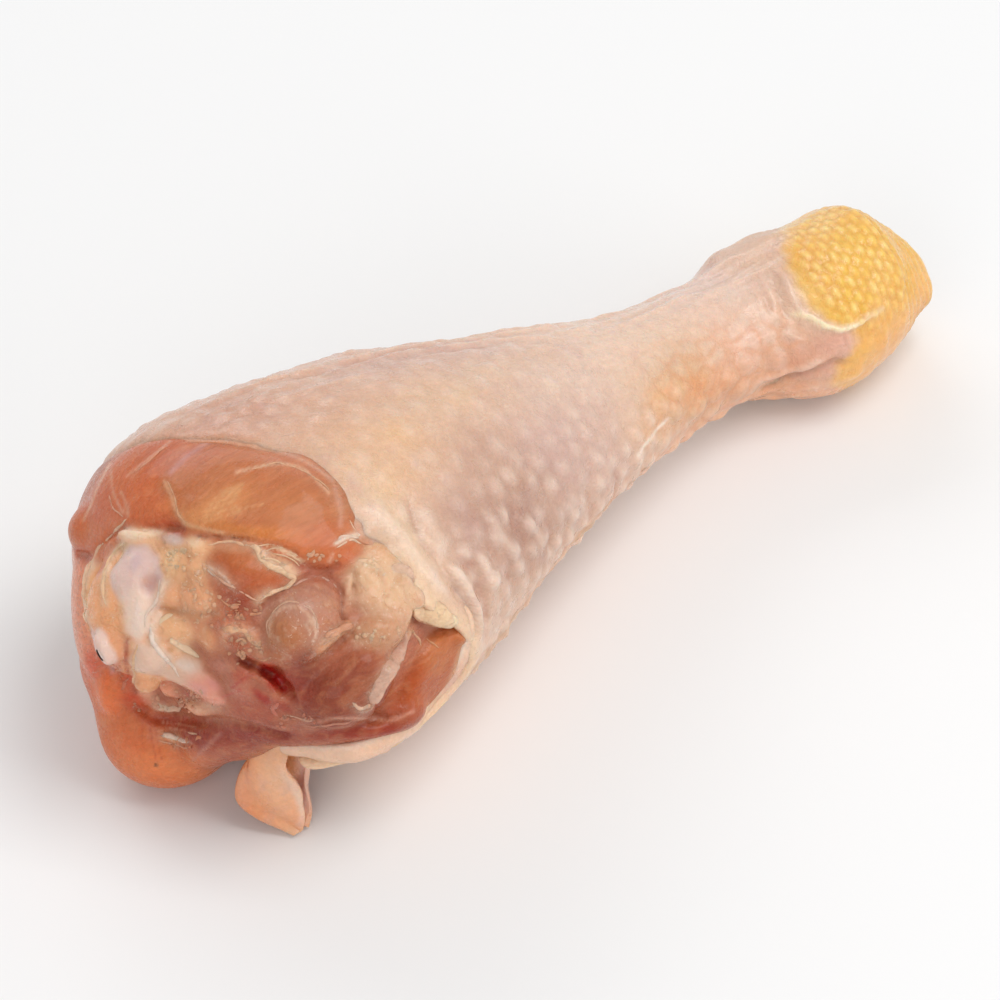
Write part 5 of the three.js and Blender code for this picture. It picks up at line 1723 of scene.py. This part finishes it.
scatter = np.random.default_rng(71)
crumbs = []
for colour, heap, reach, count in CRUMBS:
    for _ in range(count):
        at = np.array(heap) + np.clip(scatter.normal(0, 0.5, 2), -1, 1) * reach
        way = scatter.uniform(0.14, 0.3) * scatter.normal(0, 1, 2)
        bend = 0.3 * scatter.normal(0, 1, 2) * np.abs(way[::-1])
        width = scatter.uniform(0.22, 0.5)
        crumbs.append(((at - way, at + bend, at + way), (0.6 * width, width, 0.6 * width), 0.4, colour))

round_it = np.linspace(0, 2 * np.pi, FASCIA_AROUND, endpoint=False)
fascia_points, fascia_faces, fascia_hues, corner_count = [], [], [], 0
for number, (path, widths, flatness, colour) in enumerate(FASCIA + tuple(crumbs)):
    places = curve_through(np.array(path), FASCIA_STEP if number < len(FASCIA) else CRUMB_STEP)
    share = np.linspace(0, 1, len(places))
    outs = even(np.array([fine_landing(*place) for place in places]), 6)
    spine = KNEE_MIDDLE + np.column_stack([places, outs]) @ face_frame
    if max(widths) < LAID_FLAT:
        spine = cling(even(cling(spine), 2), 3)
    way = np.gradient(spine, axis=0)
    way = way / np.linalg.norm(way, axis=-1, keepdims=True)
    side = np.cross(way, face_out)
    side = side / np.linalg.norm(side, axis=-1, keepdims=True)
    proud = np.cross(side, way)
    half = np.interp(share, np.linspace(0, 1, len(widths)), widths)
    ragged = 0.4 * np.exp(-(half.max() ** 2)) + 0.05
    half = half * (1 + ragged * noise(spine, 0.9, 90 + number)) * np.sqrt(1.02 - (2 * share - 1) ** 8)
    spine = spine + 0.2 * noise(spine, 1.3, 91 + number)[:, None] * side - 0.2 * half[:, None] * proud
    rings = (spine[:, None] + (half[:, None] * np.cos(round_it))[..., None] * side[:, None]
             + (flatness * half[:, None] * np.sin(round_it))[..., None] * proud[:, None])
    tube = ring_faces(len(rings), FASCIA_AROUND, False)
    around = np.arange(FASCIA_AROUND)
    ends = [around[::-1], (len(rings) - 1) * FASCIA_AROUND + around]
    fascia_faces += [face + corner_count for face in list(tube) + ends]
    fascia_points.append(rings.reshape(-1, 3))
    # thin edges take the colour of the flesh they lie on
    base = core_distance(*fascia_points[-1].T, THICKNESS)
    flesh, _ = tissue_at(fascia_points[-1], flesh_forms, base)
    on_crest = smooth(-0.3, 0.7, np.sin(round_it) + 0 * half[:, None]).ravel()
    fascia_hues.append(laid_over(flesh, colour, 0.15 + 0.62 * on_crest))
    corner_count += rings.shape[0] * FASCIA_AROUND
fascia_points, fascia_hues = np.vstack(fascia_points), np.vstack(fascia_hues)
fascia = piece_from("fascia", fascia_points, fascia_faces, fascia_hues,
                    membrane=np.full(len(fascia_points), 0.5))
fascia.data.materials.append(flesh_material("torn wet membrane", (0.5, 0.3, 0.25)))
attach(fascia, "root")
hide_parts("meat")


# ==== Rolled edge =============================================================================
# The skin and the fat under it, 3 mm thick along the lower side of the cut. They roll out there
# by themselves, and lead into the flap.

# Places along it in millimetres, half width and half thickness
LIP_PATH = np.array([
    (11.6, -23.7, 33.8, 0.4, 0.35),
    (12.7, -26.3, 29.6, 0.9, 0.6),
    (12, -26.8, 25.9, 1.7, 0.9),
    (10.8, -26.7, 22.6, 2.2, 1),
    (8.6, -26.4, 19.6, 2.6, 1.1),
    (5.3, -26.8, 18.5, 2.7, 1.2),
    (0.7, -28.2, 18.6, 2.4, 1.2),
    (-4.3, -28.8, 19.2, 2.05, 1.1),
    (-8.1, -27.9, 18.9, 1.9, 1.1),
    (-11.4, -25.6, 18.7, 1.6, 1),
    (-13.6, -22, 18.2, 1.5, 0.9),
    (-14.9, -18.9, 16.4, 1.3, 0.8),
    (-15.2, -16.6, 14, 0.8, 0.5),
])
LIP_AROUND, LIP_STEP = 28, 12

lip_line = curve_through(LIP_PATH, LIP_STEP)
lip_middle, lip_half = lip_line[:, :3], lip_line[:, 3:]
lip_way = np.gradient(lip_middle, axis=0)
lip_way = lip_way / np.linalg.norm(lip_way, axis=-1, keepdims=True)
lip_out = lip_middle - np.array([2.0, 2.0, 21.0])
lip_out = lip_out - lip_way * np.sum(lip_out * lip_way, -1, keepdims=True)
lip_out = lip_out / np.linalg.norm(lip_out, axis=-1, keepdims=True)
lip_side = np.cross(lip_way, lip_out)
turn_round = np.linspace(0, 2 * np.pi, LIP_AROUND, endpoint=False)
wide, thick = lip_half[:, :1] * np.cos(turn_round), lip_half[:, 1:] * np.sin(turn_round)
lip_points = lip_middle[:, None] + wide[..., None] * lip_side[:, None] + thick[..., None] * lip_out[:, None]
lip_points = lip_points + 0.28 * noise(lip_points, 2.4, 65)[..., None] * lip_out[:, None]
lip_points = lip_points + 0.22 * noise(lip_points, 3.4, 66)[..., None] * lip_side[:, None]
lip_faces = ring_faces(len(lip_points), LIP_AROUND, False)[:, ::-1]
lip_ends = [np.arange(LIP_AROUND), len(lip_points) * LIP_AROUND - 1 - np.arange(LIP_AROUND)]
lip_hues = np.broadcast_to(linear("#EBC0A2"), lip_points.shape)
for colour, share in (
    ("#EBA273", 0.85 * smooth(0.2, -0.9, np.sin(turn_round) + 0.0 * wide)),  # its underside
    ("#E4AC92", 0.6 * smooth(0.1, 0.7, noise(lip_points, 4.0, 67))),  # blushes
    ("#F3DCCB", 0.5 * (smooth(0.55, 0.95, np.cos(turn_round)) + 0.0 * wide)),  # its crest, painted paler as a highlight
):
    lip_hues = laid_over(lip_hues, colour, share)
rolled_edge = piece_from("rolled_edge", lip_points.reshape(-1, 3), list(lip_faces) + lip_ends,
                         lip_hues.reshape(-1, 3))
rolled_edge.data.materials.append(skin_finish)
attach(rolled_edge, "root")
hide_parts("skin")


# ==== Hock end ================================================================================
# The lower end of the shin bone, where the foot was cut off through the hock: two pearly bumps
# of joint cartilage with a groove between them, set in the ring of flesh inside the skin.

HOCK_MIDDLE = np.array([118.1, 1.5, 10.9])
HOCK_HALF = (5.5, 5.1)  # half width and half height of the cartilage
HOCK_RINGS, HOCK_AROUND = 20, 56

out_share = np.linspace(0, 1, HOCK_RINGS)[1:, None]
hock_angle = np.linspace(0, 2 * np.pi, HOCK_AROUND, endpoint=False)[None, :]
cap_across = HOCK_HALF[0] * out_share * np.cos(hock_angle)
cap_up = HOCK_HALF[1] * out_share * np.sin(hock_angle)


def cartilage_height(aside, high, share):
    """How far the joint face stands out: two long bumps, a groove between them, a rounded rim."""
    bumps = sum(1.5 * np.exp(-(((aside - side) / 1.9) ** 2) - (high / 4.2) ** 2) for side in (-2.2, 2.2))
    return bumps - 1.5 * share**5


cap_out = cartilage_height(cap_across, cap_up, out_share)
cap = np.stack([HOCK_MIDDLE[0] + cap_out, HOCK_MIDDLE[1] - cap_across, HOCK_MIDDLE[2] + cap_up], -1)
tip = HOCK_MIDDLE + [cartilage_height(0.0, 0.0, 0.0), 0, 0]
cap = cap + (0.12 * noise(cap, 1.8, 81))[..., None] * np.array([1.0, 0, 0])
cap_points = np.vstack([cap.reshape(-1, 3), tip])
first_ring = np.arange(HOCK_AROUND)
fan = [[len(cap_points) - 1, b, a] for a, b in zip(first_ring, np.roll(first_ring, -1))]
back = [np.arange(HOCK_AROUND) + (HOCK_RINGS - 2) * HOCK_AROUND]
cap_faces = [np.array(face) for face in fan] + list(ring_faces(HOCK_RINGS - 1, HOCK_AROUND, False)) + back
rim_share = np.append((out_share + 0 * cap_across).ravel(), 0.0) + 0.12 * noise(cap_points, 1.6, 82)
groove = np.exp(-((np.append(cap_across.ravel(), 0.0) / 0.8) ** 2))
cap_hues = np.broadcast_to(linear("#E0D0C8"), cap_points.shape)
cap_hues = laid_over(cap_hues, "#CF8F80", 0.8 * smooth(0.72, 1.0, rim_share))
cap_hues = laid_over(cap_hues, "#D4A89E", 0.5 * groove)
hock_joint = piece_from("hock_joint", cap_points, cap_faces, cap_hues)
hock_joint.data.materials.append(joint_finish)
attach(hock_joint, "root")
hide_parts("shinbone")


# ==== Flap of skin ============================================================================
# A tag of loose skin that was left where the cut ended. It hangs from the curled edge to the
# floor, rolled like a leaf so that its back shows inside.

FLAP_ROOT = np.array([-15.4, -17.8, 15.5])
flap_across = np.array([0.766, -0.643, 0.0])
flap_front = np.array([-0.643, -0.766, 0.0])
# Down its length: how far below the root, how far forward, left side, free front edge, right
# side, and half depth of the roll
FLAP_ROWS = np.array([
    (-3.6, 0.6, 0.6, 3.6, 4.2, 0.5),
    (-2.3, 0.2, -1, 3, 4.3, 0.9),
    (0, 0, -2.4, 1.9, 4.5, 1.5),
    (2.3, 0.1, -3.2, 2, 4.9, 1.5),
    (4.8, 0.1, -4.1, 3.1, 4.9, 1.6),
    (7.6, 0.3, -4.8, 3.9, 5, 1.6),
    (9.6, 0.4, -4.9, 4.1, 5.1, 1.5),
    (11.6, 0.6, -3.6, 4.1, 5.1, 1.3),
    (13.1, 0.9, -1.3, 3.9, 5, 1.2),
    (14.1, 1.2, 0.6, 3.9, 4.7, 1),
    (14.6, 1.9, 2.4, 3.7, 4.2, 0.6),
])
FLAP_THICKNESS = 1.0
FLAP_ROLL = 338.0  # how far round its back edge comes
FLAP_AROUND, FLAP_DOWN = 54, 6

flap_rows = curve_through(FLAP_ROWS, FLAP_DOWN)
down, forward, left, front_edge, right, depth = (column[:, None] for column in flap_rows.T)
flap_middle, flap_half = (left + right) / 2, (right - left) / 2
opens = np.arccos(np.clip((front_edge - flap_middle) / flap_half, -0.98, 0.98))
rolled_share = np.linspace(0, 1, FLAP_AROUND)[None, :]
angle = opens + (math.radians(FLAP_ROLL) - opens) * rolled_share
ruffle = 0.22 * np.sin(5 * angle + 3 * down / 4)
flat = flap_middle + (flap_half + ruffle) * np.cos(angle)
deep = forward + (depth + ruffle) * np.sin(angle) - 0.25 * flap_half * smooth(0.6, 1.0, rolled_share)
flap_points = (FLAP_ROOT + flat[..., None] * flap_across + deep[..., None] * flap_front
               - (down + 0 * flat)[..., None] * np.array([0, 0, 1.0]))
flap_points = flap_points + 0.18 * noise(flap_points, 2.6, 61)[..., None] * flap_front
flap_points[..., 2] = np.maximum(flap_points[..., 2], 0.5 * FLAP_THICKNESS + 0.05)
flap_hues = np.broadcast_to(linear("#EE9D66"), flap_points.shape)
row_at = np.arange(len(flap_points))[:, None]
# patches: place round the roll and its reach, row and its reach, colour, strength
for at, spread, row, length, colour, strength in (
    (0.10, 0.16, 22, 16, "#EFC09A", 0.7),  # front sheet, pale with fat
    (0.03, 0.03, 34, 18, "#EFD3C0", 0.8),  # its free edge, pale with a painted highlight
    (0.38, 0.10, 38, 22, "#E68E5E", 0.85),  # left bulge
    (0.72, 0.20, 28, 26, "#F2AE78", 0.95),  # inside of the back sheet, painted lighter as light where the roll shades it
    # pale lilac rim along the back sheet's edge: a painted highlight
    (0.96, 0.07, 30, 30, "#E6C4BC", 0.8),
    (0.5, 0.7, 58, 7, "#EDB68E", 0.9),  # tip
    (0.3, 0.5, 2, 8, "#E6B08C", 0.8),
):
    share = strength * np.exp(-(((rolled_share - at) / spread) ** 2) - ((row_at - row) / length) ** 2)
    flap_hues = laid_over(flap_hues, colour, share)
row, column = np.meshgrid(np.arange(len(flap_points) - 1), np.arange(FLAP_AROUND - 1), indexing="ij")
corners = (row, column), (row + 1, column), (row + 1, column + 1), (row, column + 1)
flap_faces = np.stack([r * FLAP_AROUND + c for r, c in corners], -1).reshape(-1, 4)
flap = piece_from("flap", flap_points.reshape(-1, 3), flap_faces, flap_hues.reshape(-1, 3))
thicken = flap.modifiers.new("thickness", "SOLIDIFY")
thicken.thickness, thicken.offset = FLAP_THICKNESS * MM, 0.0
rounding = flap.modifiers.new("rounded edges", "SUBSURF")
rounding.levels = rounding.render_levels = 1
flap.data.materials.append(skin_finish)
settle(flap)
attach(flap, "root")
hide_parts("skin")


# ==== Board, light and camera =================================================================
# A plain pale board under the drumstick, broad soft studio lamps, and a long lens.

BOARD_HALF = 3.0  # metres
board_mesh = bpy.data.meshes.new("board")
board_corners = [(x * BOARD_HALF, y * BOARD_HALF, 0) for x, y in ((-1, -1), (1, -1), (1, 1), (-1, 1))]
board_mesh.from_pydata(board_corners, [], [(0, 1, 2, 3)])
board = bpy.data.objects.new("board", board_mesh)
bpy.context.scene.collection.objects.link(board)
board_finish = bpy.data.materials.new("matt white board")
board_finish.use_nodes = True
board_shader = board_finish.node_tree.nodes["Principled BSDF"]
board_shader.inputs["Base Color"].default_value = (0.86, 0.86, 0.86, 1)
board_shader.inputs["Roughness"].default_value = 0.9
board_shader.inputs["Specular IOR Level"].default_value = 0.1
board.data.materials.append(board_finish)

world = bpy.data.worlds.new("studio")
world.use_nodes = True
world.node_tree.nodes["Background"].inputs["Color"].default_value = (1.0, 1.0, 1.0, 1)
world.node_tree.nodes["Background"].inputs["Strength"].default_value = 0.5
bpy.context.scene.world = world


def lamp(name, place, size, power, target=(0.03, 0.0, 0.02)):
    """A soft lamp at a place, turned to the drumstick; in metres and watts."""
    made = bpy.data.lights.new(name, "AREA")
    made.shape = "RECTANGLE"
    made.size, made.size_y = size
    made.energy = power
    shown = bpy.data.objects.new(name, made)
    shown.location = place
    aim = Vector(target) - Vector(place)
    shown.rotation_euler = aim.to_track_quat("-Z", "Y").to_euler()
    bpy.context.scene.collection.objects.link(shown)


lamp("key", (0.24, -0.30, 0.88), (0.55, 0.55), 4.0)
lamp("fill", (-0.6, -0.45, 0.5), (0.5, 0.5), 1.3)
lamp("low fill", (0.45, -0.7, 0.24), (0.5, 0.3), 1.2)
lamp("back", (0.2, 0.75, 0.55), (0.8, 0.4), 2.2)

CAMERA_PLACE = Vector((-0.328485, -0.439609, 0.608024))
CAMERA_ELEVATION = 46.0
CAMERA_AZIMUTH = 50.0  # the way it looks, turned from +X towards +Y
CAMERA_LENS = 206.64
elevation, azimuth = math.radians(CAMERA_ELEVATION), math.radians(CAMERA_AZIMUTH)
looks = Vector((math.cos(elevation) * math.cos(azimuth), math.cos(elevation) * math.sin(azimuth),
                -math.sin(elevation)))
camera_data = bpy.data.cameras.new("camera")
camera_data.lens = CAMERA_LENS
camera_data.sensor_width = 36.0
camera_data.clip_start = 0.05
camera = bpy.data.objects.new("camera", camera_data)
camera.location = CAMERA_PLACE
camera.rotation_euler = looks.to_track_quat("-Z", "Y").to_euler()
bpy.context.scene.collection.objects.link(camera)
bpy.context.scene.camera = camera
bpy.context.scene.view_settings.view_transform = "Standard"
